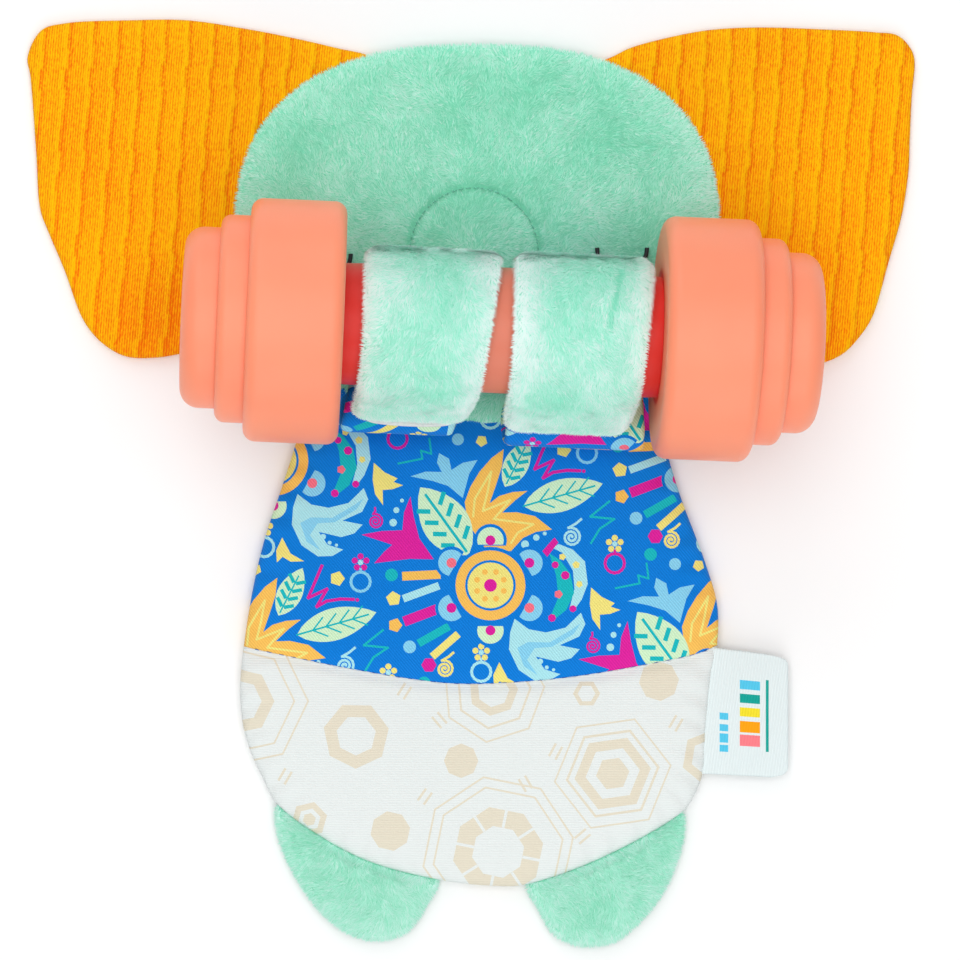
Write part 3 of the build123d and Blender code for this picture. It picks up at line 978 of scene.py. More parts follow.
@dataclass
class Motif:
    """Outlines with their dyes, in millimetres, that are placed and turned together."""

    inks: list[Ink] = field(default_factory=list)

    def shape(self, outline: Points | Sequence[tuple[float, float]], dye: Dye) -> "Motif":
        """Add one filled outline."""
        self.inks.append(Ink(np.array(outline, float), dye))
        return self

    def line(self, points: Sequence[tuple[float, float]], width: float, dye: Dye) -> "Motif":
        """Add a line of even width."""
        for bar in stroke(points, width):
            self.inks.append(Ink(bar, dye))
        return self

    def leaf(self, base: tuple[float, float], tip: tuple[float, float], width: float, dye: Dye) -> "Motif":
        """Add a pointed leaf from its base to its tip."""
        foot, head = np.array(base, float), np.array(tip, float)
        way = head - foot
        side = np.array([-way[1], way[0]]) / np.linalg.norm(way)
        share = np.linspace(0, 1, 13)
        swell = np.sin(math.pi * share ** 0.9) ** 0.8 * width / 2
        right = foot + share[:, None] * way - swell[:, None] * side
        left = foot + share[:, None] * way + swell[:, None] * side
        return self.shape(np.vstack([right, left[-2:0:-1]]), dye)

    def bars(self, base: tuple[float, float], tip: tuple[float, float], count: int, size: tuple[float, float],
             spread: float, dye: Dye) -> "Motif":
        """Add slanting bars on both sides of a leaf's rib."""
        foot, head = np.array(base, float), np.array(tip, float)
        way = (head - foot) / np.linalg.norm(head - foot)
        side = np.array([-way[1], way[0]])
        for share in np.linspace(0.24, 0.74, count):
            for sign in (-1, 1):
                middle = foot + share * (head - foot) + sign * spread * side
                ray = sign * side * 0.8 + way * 0.6
                ends = [tuple(middle - ray * size[0] / 2), tuple(middle + ray * size[0] / 2)]
                self.line(ends, size[1], dye)
        return self

    def veins(self, base: tuple[float, float], tip: tuple[float, float], count: int, reach: float,
              dye: Dye) -> "Motif":
        """Add a rib with branching veins."""
        foot, head = np.array(base, float), np.array(tip, float)
        way = (head - foot) / np.linalg.norm(head - foot)
        side = np.array([-way[1], way[0]])
        self.line([tuple(foot), tuple(foot + 0.9 * (head - foot))], 0.45, dye)
        for share in np.linspace(0.2, 0.7, count):
            start = foot + share * (head - foot)
            for sign in (-1, 1):
                end = start + (side * sign * 0.75 + way) * reach
                self.line([tuple(start), tuple(end)], 0.4, dye)
        return self

    def spiral(self, centre: tuple[float, float], radius: float, tail: tuple[float, float], width: float,
               dye: Dye) -> "Motif":
        """Add a curl with a tail that runs off to a point."""
        turns = np.linspace(0, 4.6 * math.pi, 34)
        points = [(centre[0] + radius * (0.08 + 0.92 * t / turns[-1]) * math.cos(t),
                   centre[1] + radius * (0.08 + 0.92 * t / turns[-1]) * math.sin(t)) for t in turns]
        points += [((points[-1][0] + tail[0]) / 2 + 0.3, (points[-1][1] + tail[1]) / 2), tail]
        return self.line(points, width, dye)

    def dots(self, places: Sequence[tuple[float, float, float]], dye: Dye, sides: int = 14) -> "Motif":
        """Add discs or small polygons, each given by its middle and radius."""
        for number, (x, y, radius) in enumerate(places):
            self.shape(disc((x, y), radius, sides, 25 * number), dye)
        return self

    def moved(self, shift: tuple[float, float], turn: float = 0.0, scale: float = 1.0) -> list[Ink]:
        """Return the inks turned about the pattern's middle and then shifted."""
        c, s = math.cos(math.radians(turn)) * scale, math.sin(math.radians(turn)) * scale
        spin = np.array([[c, s], [-s, c]])
        return [Ink(ink.outline @ spin + np.array(shift), ink.dye) for ink in self.inks]


def jungle_motif() -> Motif:
    """Draw one repeat of the shirt's print: leaves, petals, bars, curls and a ringed sun disc."""
    unit = Motif()
    # fan of palm fronds with a pale zigzag inside
    fan = [(3.2, -16.4), (-1.6, -9.6), (-2.3, -4.4), (-0.9, -0.6), (1.4, 3.2), (4.4, 6.6), (7.4, 8.8),
           (7.0, 4.6), (5.6, 0.2), (3.9, -4.7), (6.2, -2.9), (9.6, -1.9), (13.3, -1.6), (10.3, -3.9),
           (7.0, -7.0), (10.6, -6.9), (15.2, -7.9), (19.4, -11.2), (15.4, -11.8), (12.2, -13.3),
           (9.2, -16.6)]
    unit.shape(fan, Dye.PALM)
    unit.line([(-0.2, -8.0), (0.2, -3.6), (4.3, 3.2), (3.4, -1.8), (2.2, -6.6), (9.0, -3.9), (4.9, -8.6),
               (14.8, -9.9), (10.9, -12.0), (9.2, -14.6)], 0.55, Dye.STRAW)
    unit.leaf((-1.3, -17.6), (-13.4, -0.7), 11.6, Dye.MINT)
    unit.line([(-1.9, -16.6), (-12.0, -2.6)], 0.7, Dye.TEAL)
    unit.bars((-1.3, -17.6), (-13.4, -0.7), 4, (2.6, 1.15), 2.8, Dye.TEAL)
    # three-pointed leaf
    unit.shape([(-15.8, -3.0), (-15.0, -8.0), (-13.6, -13.4), (-10.0, -18.6), (-16.0, -18.5),
                (-24.8, -19.6), (-22.4, -16.8), (-20.3, -15.0), (-28.0, -12.5), (-23.0, -11.6),
                (-17.8, -11.4), (-17.4, -7.0)], Dye.MAGENTA)
    # swept flame leaf with a stroke of lighter dye
    unit.shape([(-43.9, -2.4), (-40.4, -5.0), (-36.1, -5.8), (-31.2, -4.6), (-27.4, -0.9), (-26.3, -3.7),
                (-27.8, -6.8), (-32.7, -9.0), (-27.7, -10.0), (-29.8, -12.2), (-33.0, -13.1),
                (-38.6, -11.8), (-36.4, -15.0), (-32.5, -16.2), (-35.2, -17.8), (-38.8, -17.9),
                (-42.9, -15.1), (-45.3, -10.0), (-45.0, -5.8)], Dye.ICE)
    unit.shape([(-43.2, -9.6), (-40.6, -8.2), (-35.2, -8.3), (-29.6, -5.0), (-27.4, -3.4), (-29.2, -6.2),
                (-34.6, -9.4), (-38.9, -9.7), (-40.8, -12.6), (-38.2, -16.4), (-41.6, -14.2)], Dye.SKY)
    unit.dots([(-37.5, -13.0, 0.7), (-35.9, -14.5, 0.5), (-34.2, -15.1, 0.4)], Dye.ICE)
    # two-pointed horn leaf and light three-pointed leaf
    unit.shape([(-24.9, 5.4), (-22.2, 3.0), (-19.0, 1.5), (-20.0, 0.6), (-17.6, -0.2), (-20.2, -1.2),
                (-22.7, -1.4), (-22.6, -5.2), (-24.6, -2.4), (-25.2, 1.2)], Dye.STRAW)
    unit.shape([(-8.7, 7.8), (-6.2, 6.4), (-5.6, 3.6), (-2.8, 5.4), (0.9, 6.1), (-1.2, 2.6), (-2.8, -3.4),
                (-6.4, -0.4), (-10.4, 0.9), (-15.8, 2.0), (-12.0, 3.2), (-8.0, 3.1), (-9.2, 5.4)], Dye.SKY)
    # pair of curved pods with spots
    unit.shape([(21.0, -14.8), (24.6, -16.2), (27.6, -19.2), (28.3, -24.7), (26.8, -28.6), (24.8, -31.4),
                (23.8, -30.6), (25.0, -26.0), (24.6, -21.4), (22.0, -17.0), (19.6, -15.8)], Dye.ICE)
    unit.shape([(18.7, -17.1), (21.4, -18.8), (24.0, -22.2), (24.9, -27.0), (23.0, -31.2), (20.2, -33.4),
                (19.2, -32.4), (21.0, -28.0), (20.4, -22.6)], Dye.TEAL)
    unit.shape([(17.0, -16.6), (20.0, -13.2), (21.0, -14.4), (18.2, -18.0)], Dye.MAGENTA)
    unit.dots([(19.4, -33.2, 1.0), (24.6, -30.9, 0.9), (20.2, -20.0, 0.9), (22.7, -22.6, 1.1)],
              Dye.MAGENTA, 7)
    unit.dots([(21.0, -27.3, 1.1)], Dye.CORAL, 5)
    unit.dots([(22.0, -18.0, 0.9), (25.4, -20.0, 1.0), (26.2, -24.8, 0.9)], Dye.STRAW, 5)
    # bars that radiate from the disc
    for start, end, width, dye in (((-17.1, -22.8), (-9.1, -22.4), 2.2, Dye.PALM),
                                   ((-17.0, -28.2), (-9.3, -25.4), 1.9, Dye.ICE),
                                   ((-16.6, -33.8), (-9.2, -31.0), 2.5, Dye.MAGENTA),
                                   ((-13.2, -39.2), (-6.8, -35.6), 2.0, Dye.TEAL),
                                   ((-9.9, -42.4), (-4.4, -37.6), 1.9, Dye.STRAW)):
        unit.line([start, end], width, dye)
    # small leaves, scribbles, curls and dots
    unit.leaf((-48.6, -32.6), (-42.6, -20.8), 6.2, Dye.MINT)
    unit.bars((-48.6, -32.6), (-42.6, -20.8), 4, (1.9, 0.9), 1.3, Dye.TEAL)
    unit.line([(-48.2, -31.8), (-43.6, -22.8)], 0.4, Dye.TEAL)
    unit.leaf((-44.0, -37.4), (-24.3, -31.8), 8.0, Dye.MINT)
    unit.veins((-44.0, -37.4), (-24.3, -31.8), 4, 3.2, Dye.TEAL)
    unit.shape([(-47.7, -13.2), (-45.6, -17.2), (-42.2, -19.1), (-45.6, -19.2), (-47.6, -18.0),
                (-49.0, -19.4), (-49.2, -16.4)], Dye.STRAW)
    unit.line([(-37.8, -20.2), (-41.2, -28.2), (-36.5, -26.0), (-39.1, -30.4), (-36.6, -29.0),
               (-33.2, -28.5), (-29.9, -28.6)], 0.75, Dye.MAGENTA)
    unit.line([(-22.6, -36.2), (-27.4, -40.0), (-21.4, -40.6), (-25.0, -43.0), (-27.2, -46.6)], 0.55,
              Dye.TEAL)
    unit.line([(42.9, -19.6), (43.4, -23.4), (40.8, -22.6), (41.2, -24.6), (35.2, -25.8)], 0.5, Dye.TEAL)
    unit.spiral((-32.1, -45.1), 2.4, (-29.6, -40.6), 0.6, Dye.ICE)
    unit.spiral((-24.5, -9.2), 1.9, (-24.6, -5.8), 0.5, Dye.MAGENTA)
    unit.spiral((49.0, -13.9), 2.2, (51.2, -9.8), 0.6, Dye.STRAW)
    unit.dots([(-29.0, -28.7, 0.45)], Dye.MAGENTA)
    unit.dots([(-17.9, -4.0, 0.5), (-19.3, -6.4, 0.75), (-20.1, -9.5, 0.95)], Dye.ICE)
    unit.dots([(12.7, -14.9, 1.0), (15.5, -13.2, 0.8), (17.6, -12.2, 0.5)], Dye.ICE)
    unit.dots([(-20.5, -22.5, 1.6), (43.9, -17.4, 1.6)], Dye.TEAL)
    unit.dots([(-16.0, -40.4, 1.6), (50.0, -19.8, 1.5)], Dye.SKY)
    unit.dots([(-34.0, -23.4, 1.9), (-20.0, -28.4, 1.9), (55.9, -20.2, 1.5)], Dye.STRAW, 5)
    unit.dots([(-19.6, -35.0, 1.8)], Dye.PALM, 5)
    unit.dots([(-11.2, -44.9, 1.9)], Dye.MAGENTA, 6)
    # blossoms on little rings
    for x, y, ring_dye, bud in ((-28.2, -22.6, Dye.SKY, Dye.MAGENTA), (35.0, -18.0, Dye.MAGENTA, Dye.STRAW),
                                (1.8, -45.0, Dye.ICE, Dye.STRAW)):
        unit.line([tuple(p) for p in disc((x, y - 1.6), 2.4, 16)] + [(x + 2.4, y - 1.6)], 0.7, ring_dye)
        for petal in range(5):
            turn = math.radians(90 + 72 * petal)
            unit.dots([(x + 1.5 * math.cos(turn), y + 3.2 + 1.5 * math.sin(turn), 0.8)], bud, 8)
        unit.dots([(x, y + 3.2, 0.7)], Dye.ICE, 8)
        unit.line([(x, y + 1.6), (x, y + 0.9)], 0.6, ring_dye)
    # sun disc in rings, with half-round petals about it
    middle = (4.1, -25.1)
    unit.dots([(*middle, 9.6)], Dye.GROUND, 40)
    unit.dots([(*middle, 8.7)], Dye.PALM, 40)
    unit.dots([(*middle, 6.3)], Dye.GROUND, 32)
    unit.dots([(*middle, 5.7)], Dye.STRAW, 32)
    for ray in range(8):
        turn = math.radians(22.5 + 45 * ray)
        unit.dots([(middle[0] + 3.6 * math.cos(turn), middle[1] + 3.6 * math.sin(turn), 0.75)], Dye.PALM, 8)
    unit.dots([(*middle, 1.6)], Dye.MAGENTA, 16)
    for petal in range(6):
        turn = math.radians(30 + 60 * petal)
        spot = (middle[0] + 11.2 * math.cos(turn), middle[1] + 11.2 * math.sin(turn))
        arc = [(spot[0] + 3.3 * math.cos(turn + a), spot[1] + 3.3 * math.sin(turn + a))
               for a in np.linspace(-1.9, 1.9, 15)]
        rim = [(spot[0] + 4.1 * math.cos(turn + a), spot[1] + 4.1 * math.sin(turn + a))
               for a in np.linspace(-1.9, 1.9, 15)]
        unit.shape(rim, Dye.GROUND)
        unit.shape(arc, Dye.MINT if petal in (1, 4) else Dye.SKY)
        unit.dots([(*spot, 1.25)], Dye.CORAL if petal in (2, 5) else Dye.MAGENTA, 12)
    return unit


def hexagon_motifs() -> Motif:
    """Draw the shorts' print: rings, discs and nested outlines with six, seven or eight sides."""
    unit = Motif()

    def nested(middle: tuple[float, float], sides: int, sizes: Sequence[tuple[float, float]],
               turn: float) -> None:
        """Add rings given by their outer and inner radius; an inner radius of 0 is a disc."""
        for outer, inner in sizes:
            unit.shape(disc(middle, outer, sides, turn), Dye.PALM)
            if inner:
                unit.shape(disc(middle, inner, sides, turn), Dye.GROUND)

    nested((-29.3, -62.4), 7, [(8.3, 5.0)], 12)
    nested((-3.2, -68.7), 8, [(4.3, 0)], 0)
    nested((-20.8, -86.2), 8, [(5.0, 0)], 10)
    nested((46.0, -48.9), 8, [(5.0, 0)], 5)
    nested((34.5, -71.9), 6, [(14.8, 14.3), (11.8, 11.1), (9.6, 6.8), (4.2, 0)], 8)
    nested((6.0, -91.4), 8, [(19.2, 18.7), (16.6, 16.1), (11.4, 6.6)], 11)
    for ray in range(8):
        turn = math.radians(11 + 22.5 + 45 * ray)
        unit.line([(6.0 + 6.4 * math.cos(turn), -91.4 + 6.4 * math.sin(turn)),
                   (6.0 + 11.6 * math.cos(turn), -91.4 + 11.6 * math.sin(turn))], 0.7, Dye.GROUND)
    nested((-58.0, -53.9), 7, [(17.0, 16.5), (13.6, 13.1), (8.4, 5.2)], 0)
    nested((-41.0, -83.4), 6, [(4.6, 2.9)], 14)
    nested((-41.0, -83.4), 6, [(1.7, 0)], 14)
    nested((4.8, -51.4), 7, [(13.0, 12.5), (9.6, 9.0), (6.2, 4.0)], 5)
    nested((58.5, -68.0), 6, [(7.0, 4.6)], 20)
    nested((28.0, -52.0), 6, [(3.4, 2.2)], 0)
    for x, y, turn in ((-47.0, -72.6, 60), (-12.2, -77.6, 55), (20.3, -66.4, 62), (-17.3, -51.4, 58),
                       (12.8, -74.4, -60), (-8.6, -58.6, -50), (50.2, -59.4, 60), (27.0, -87.5, 40)):
        way = np.array([math.cos(math.radians(turn)), math.sin(math.radians(turn))])
        side = np.array([-way[1], way[0]])
        for shift in (-0.9, 0.9):
            spot = np.array([x, y]) + side * shift
            unit.line([tuple(spot - way * 1.6), tuple(spot + way * 1.6)], 0.6, Dye.PALM)
    return unit


JUNGLE_REPEATS = ((0.0, 0.0), (-56.3, -32.0), (54.0, -31.0), (-54.0, 31.0), (56.3, 32.0), (-2.3, -63.0),
                  (2.3, 63.0), (-110.3, -1.0))


def repeated(unit: Motif, repeats: Sequence[tuple[float, float]], line: Points,
             shift: tuple[float, float] = (0.0, 0.0)) -> list[Ink]:
    """Repeat a motif over a pattern piece.

    Args:
        unit: the motif.
        repeats: the shifts of the repeats.
        line: the pattern piece's outline, outside which nothing is kept.
        shift: a further shift of them all.

    Returns:
        The inks that touch the piece.
    """
    low, high = line.min(0), line.max(0)
    kept = []
    for dx, dy in repeats:
        for ink in unit.moved((dx + shift[0], dy + shift[1])):
            if (ink.outline.max(0) > low).all() and (ink.outline.min(0) < high).all():
                kept.append(ink)
    return kept


# ------------------------------------------------------------------ the toy's finishes
class Side(Enum):
    """The two sides, as the viewer sees them; the value is the sign of X."""

    LEFT = -1
    RIGHT = 1

    @property
    def word(self) -> str:
        """The side's name in piece names."""
        return self.name.lower()


def bar_frame(node: str) -> Matrix:
    """Return the turn and shift from a packed shell's own places to the bar's frame, X along the bar."""
    joint = next(j for j in frame["joints"] if j["name"] == "dumbbell_spin")
    turn = Vector(joint["axis"]).rotation_difference(Vector((1, 0, 0))).to_matrix().to_4x4()
    return turn @ Matrix.Translation(-Vector(joint["pos_m"])) @ frame["nodes"][node].matrix_world


@dataclass
class Wardrobe:
    """Every finish of the toy, made once and shared."""

    mint_tones: Sequence[str] = ("84E4C0", "98EDCD", "A8F3D8", "B8F6E0", "D4FAEC")
    hand_tones: Sequence[str] = ("98F2D6", "AAF8E0", "BCFBE8", "D2FDF1", "EEFFFA")
    foot_tones: Sequence[str] = ("8EE6C4", "9DEDD0", "ACF3DA", "BCF7E3", "D6FAEE")
    dyes: Sequence[str] = ("007BD8", "FBBF5A", "F2E27E", "CDEFC6", "14B8BE", "86CFEE", "A9E2EA", "DC1F9C",
                           "FB7185")
    shorts_dyes: Sequence[str] = ("E5EAE8", "E2DAC6")

    def __post_init__(self) -> None:
        """Build the materials."""
        # the plush backings are a darker mint than their pile: painted shade among the fibre roots
        self.mint_ground = [PlushGround("mint_plush_backing", "78DEB8", "92EACA").material()]
        self.hand_ground = [PlushGround("hand_plush_backing", "8CE6CA", "A4F0DA").material()]
        self.foot_ground = [PlushGround("foot_plush_backing", "80DEBA", "98E8CA").material()]
        self.mint_pile = [PileTone(f"mint_pile_{i}", c).material() for i, c in enumerate(self.mint_tones)]
        self.hand_pile = [PileTone(f"hand_pile_{i}", c).material() for i, c in enumerate(self.hand_tones)]
        self.foot_pile = [PileTone(f"foot_pile_{i}", c).material() for i, c in enumerate(self.foot_tones)]
        self.jungle = [PrintedCloth(f"blue_twill_{dye.name.lower()}", colour, wale_mm=0.6, slant=-40,
                                    contrast=0.22).material()
                       for dye, colour in zip(Dye, self.dyes)]
        self.shorts = [PrintedCloth(f"white_rib_{name}", colour, wale_mm=0.6, slant=90,
                                    contrast=0.045).material()
                       for name, colour in zip(("ground", "print"), self.shorts_dyes)]
        self.knit = [WaffleKnit("orange_waffle_knit", "FFC000", "F07000").material()]
        # the bar part of each shell carries painted shade and the plates' painted red glow
        self.coral = {name: MouldedPlastic(f"coral_satin_plastic_{name}", "FF9872", "FC8C68",
                                           bar=(bar_frame(f"dumbbell_{name}_shell"), BAR_RADIUS,
                                                BAR_HALF_LENGTH)).material()
                      for name in ("front", "back")}
        self.beads = MouldedPlastic("bead_plastic", "F4EFE2", "EAE2D0", 0.3).material()
        self.teal_thread = TwistedThread("teal_sewing_thread", "7ADDBC").material()
        self.black_thread = TwistedThread("black_floss", "15151A").material()
        self.seam_thread = TwistedThread("blue_sewing_thread", "0A55B0").material()
        self.lining = PrintedCloth("white_tricot_lining", "F3F1EA", wale_mm=0.7, slant=0,
                                   contrast=0.04).material()
        self.fastener = PlushGround("hook_and_loop_tape", "D8DDDC", "F4F6F5", 0.8).material()
        self.ribbon = PrintedCloth("satin_ribbon", "E2EDED", wale_mm=0.7, slant=8, contrast=0.05).material()
        self.ribbon_inks = [self.ribbon] + [
            PrintedCloth(f"satin_ribbon_{name}", colour, wale_mm=0.7, slant=8, contrast=0.08).material()
            for name, colour in (("sky", "55C8EA"), ("teal", "0FA396"), ("coral", "FB8189"),
                                 ("orange", "FFA40F"), ("yellow", "F2DF2E"))]


def finished(piece: bpy.types.Object, slot: str, *nodes: str, fill: float | None = None) -> bpy.types.Object:
    """Hide the CAD nodes that a piece replaces, and log its face count.

    Args:
        piece: the finished mesh.
        slot: the record's material slot; not used.
        nodes: the CAD nodes that it replaces.
        fill: for a padded piece, from slack to tight; not used.

    Returns:
        The piece.
    """
    if nodes:
        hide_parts(*nodes)
    LOG.info("%s: %d faces", piece.name, len(piece.data.polygons))
    return piece


def deselect() -> None:
    """Leave edit mode and deselect everything."""
    if bpy.context.object and bpy.context.object.mode != "OBJECT":
        bpy.ops.object.mode_set(mode="OBJECT")
    bpy.ops.object.select_all(action="DESELECT")


def place_in_mesh(piece: bpy.types.Object) -> None:
    """Move an object's place, turn and scale into its mesh."""
    deselect()
    bpy.context.view_layer.objects.active = piece
    piece.select_set(True)
    bpy.ops.object.transform_apply(location=True, rotation=True, scale=True)


def joined(name: str, parts: Sequence[bpy.types.Object]) -> bpy.types.Object:
    """Join objects into one piece.

    Args:
        name: the piece's name.
        parts: the objects.

    Returns:
        The one object.
    """
    deselect()
    for part in parts:
        part.select_set(True)
    bpy.context.view_layer.objects.active = parts[0]
    bpy.ops.object.join()
    piece = bpy.context.object
    piece.name = name
    piece.data.name = name
    return piece


def stitches(name: str, line: Points, height: Points, size: tuple[float, float, float], gap: float,
             material: bpy.types.Material) -> bpy.types.Object:
    """Lay running stitches along a line: one plump stitch, copied along it.

    Args:
        name: the piece's name.
        line: the line's points, evenly stepped.
        height: the line's height at each point.
        size: one stitch's length, width and thickness.
        gap: the gap between stitches.
        material: the thread.

    Returns:
        The stitches as one piece.
    """
    lengths = np.concatenate([[0], np.cumsum(np.linalg.norm(np.diff(line, axis=0), axis=1))])
    deselect()
    bpy.ops.mesh.primitive_uv_sphere_add(segments=8, ring_count=6, radius=0.5 * MM)
    model = bpy.context.object
    model.data.materials.append(material)
    model.data.polygons.foreach_set("use_smooth", np.ones(len(model.data.polygons), bool))
    parts = []
    count = int(lengths[-1] // (size[0] + gap))
    for number in range(count):
        middle = (number + 0.5) * lengths[-1] / count
        x, y = (float(np.interp(middle, lengths, line[:, k])) for k in range(2))
        ahead = [float(np.interp(middle + 0.5, lengths, line[:, k])) for k in range(2)]
        part = bpy.data.objects.new(name, model.data.copy())
        bpy.context.scene.collection.objects.link(part)
        part.location = (x * MM, y * MM, float(np.interp(middle, lengths, height)) * MM)
        part.rotation_euler = (0, 0, math.atan2(ahead[1] - y, ahead[0] - x))
        part.scale = size
        place_in_mesh(part)
        parts.append(part)
    bpy.data.objects.remove(model)
    return joined(name, parts)


# ------------------------------------------------------------------ head
@dataclass
class Head:
    """Flat plush head with a sewn muzzle ring and sleeping eyes."""

    centre: tuple[float, float] = (0.85, 62.0)
    half: tuple[float, float] = (60.3, 47.4)    # the cloth, inside its pile
    power: float = 2.5
    thick: float = 6.0
    muzzle: tuple[float, float] = (0.0, 57.8)
    muzzle_radius: float = 15.9
    eye_spread: float = 36.8
    eye_y: tuple[float, float] = (57.3, 58.8)   # the left eye's and the right eye's
    eye_radius: float = 6.2
    eye_thread: float = 0.55    # half the embroidered line's thickness

    def pad(self) -> Pad:
        """Return the head's pad, with the muzzle's seam drawn in."""
        line = superellipse(self.centre, self.half, self.power, 1.3)
        ring = disc(self.muzzle, self.muzzle_radius, 90)
        crown = Crown(line, seam=2.9, front=self.thick, back=0.9, roll=10, pucker=0.22, slump=0.45, seed=3.0,
                      valleys=[(np.vstack([ring, ring[:1]]), 1.0, 0.7)])
        return Pad("head_cloth", line, crown, FlatLay(), 1.5)

    def build(self, wardrobe: Wardrobe) -> None:
        """Build the head, its pile, its muzzle ring and its eyes."""
        pad = self.pad()
        cloth = pad.build(wardrobe.mint_ground)
        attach(finished(cloth, "mint_plush", "head_front_panel", "head_back_panel", "head_wadding",
                         fill=0.4), "plush_body")
        ring = disc(self.muzzle, self.muzzle_radius, 120)
        ring = np.vstack([ring, ring[:1]])
        front = Pile("head_pile", pad, 150000, 11, crown_point=self.muzzle, partings=[ring])
        back = Pile("head_back_pile", pad, 36000, 12, front=False, length=1.7, lean=78, width=0.45)
        for pile in (front, back):
            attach(finished(pile.build(wardrobe.mint_pile), "mint_plush"), "plush_body")
        high, _ = HeightMap(pad.crown).at(ring)
        thread = stitches("muzzle_ring", ring, high + 0.8, (1.5, 0.34, 0.4), 0.3, wardrobe.teal_thread)
        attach(finished(thread, "teal_thread", "muzzle_stitching"), "plush_body")
        for side in Side:
            self._eye(side, wardrobe)

    def _eye(self, side: Side, wardrobe: Wardrobe) -> None:
        """Embroider one sleeping eye: a curve with three lashes."""
        middle = Vector((side.value * self.eye_spread * MM, self.eye_y[side is Side.RIGHT] * MM,
                         (self.thick + 1.0) * MM))
        deselect()
        bpy.ops.mesh.primitive_torus_add(location=middle, major_radius=self.eye_radius * MM,
                                         minor_radius=self.eye_thread * MM, major_segments=64,
                                         minor_segments=10)
        curve = bpy.context.object
        bpy.ops.object.mode_set(mode="EDIT")
        bpy.ops.mesh.select_all(action="SELECT")
        bpy.ops.mesh.bisect(plane_co=middle, plane_no=(0, 1, 0), use_fill=True, clear_outer=True)
        bpy.ops.object.mode_set(mode="OBJECT")
        place_in_mesh(curve)
        parts = [curve]
        for turn in (-150, -112, -68, -30):
            way = Vector((math.cos(math.radians(turn)), math.sin(math.radians(turn)), 0))
            deselect()
            bpy.ops.mesh.primitive_cone_add(vertices=10, radius1=0.5 * MM, radius2=0.25 * MM, depth=2.6 * MM,
                                            location=middle + way * (self.eye_radius + 1.2) * MM,
                                            rotation=(0, math.radians(90), math.radians(turn)))
            lash = bpy.context.object
            place_in_mesh(lash)
            parts.append(lash)
        eye = joined(f"{side.word}_eye_stitches", parts)
        eye.data.materials.clear()
        eye.data.materials.append(wardrobe.black_thread)
        bpy.ops.object.shade_smooth_by_angle(angle=math.radians(50))
        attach(finished(eye, "black_thread", f"{side.word}_eye_embroidery"), "plush_body")


# ------------------------------------------------------------------ joints of the folding parts
@dataclass(frozen=True)
class Fold:
    """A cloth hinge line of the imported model, and the way out from it."""

    name: str
    child: str
    place: tuple[float, float, float]
    out: tuple[float, float, float]

    @classmethod
    def of(cls, name: str) -> "Fold":
        """Read a fold from the frame by its joint's name."""
        joint = next(j for j in frame["joints"] if j["name"] == name)
        out = Vector((0, 0, 1)).cross(Vector(joint["axis"])).normalized()
        return cls(name, joint["child"], tuple(joint["pos_m"]), tuple(out))

    def bend(self, piece: bpy.types.Object, reach_mm: float = 3.0) -> None:
        """Bake a piece's place and turn into its mesh; the piece is not bent."""
        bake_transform(piece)


# ------------------------------------------------------------------ ears
EAR_LINES = {
    Side.LEFT: ((-21, 103), (-26, 106.9), (-34, 108.9), (-44.8, 111.4), (-57.8, 113.9), (-71.8, 115.9),
                (-85.5, 115.9), (-102.3, 115.1), (-108, 113.4), (-111.5, 106.6), (-110.8, 102.1),
                (-109.3, 82.6), (-108.3, 68.6), (-106.3, 63.1), (-102.3, 53.6), (-98, 41.9), (-95, 37.4),
                (-91.3, 34.1), (-86.8, 31.9), (-80, 31.6), (-73.3, 32.6), (-64, 35), (-52, 39), (-55, 52),
                (-56, 70), (-52, 85), (-44, 95)),
    Side.RIGHT: ((23, 101), (29, 104.6), (34.8, 106.9), (38.8, 108.9), (47.8, 111.4), (58.3, 113.4),
                 (70.5, 114.1), (87.3, 113.6), (100, 112.9), (105.8, 112.1), (109, 108.9), (110, 106.1),
                 (109.3, 96.6), (108.8, 85.4), (108.5, 78.1), (106.8, 67.1), (103.5, 55.4), (99.5, 41.9),
                 (96.3, 36.9), (91.8, 32.4), (84.5, 29.9), (72, 32), (54, 38), (56, 52), (57, 70), (53, 85),
                 (45, 95)),
}


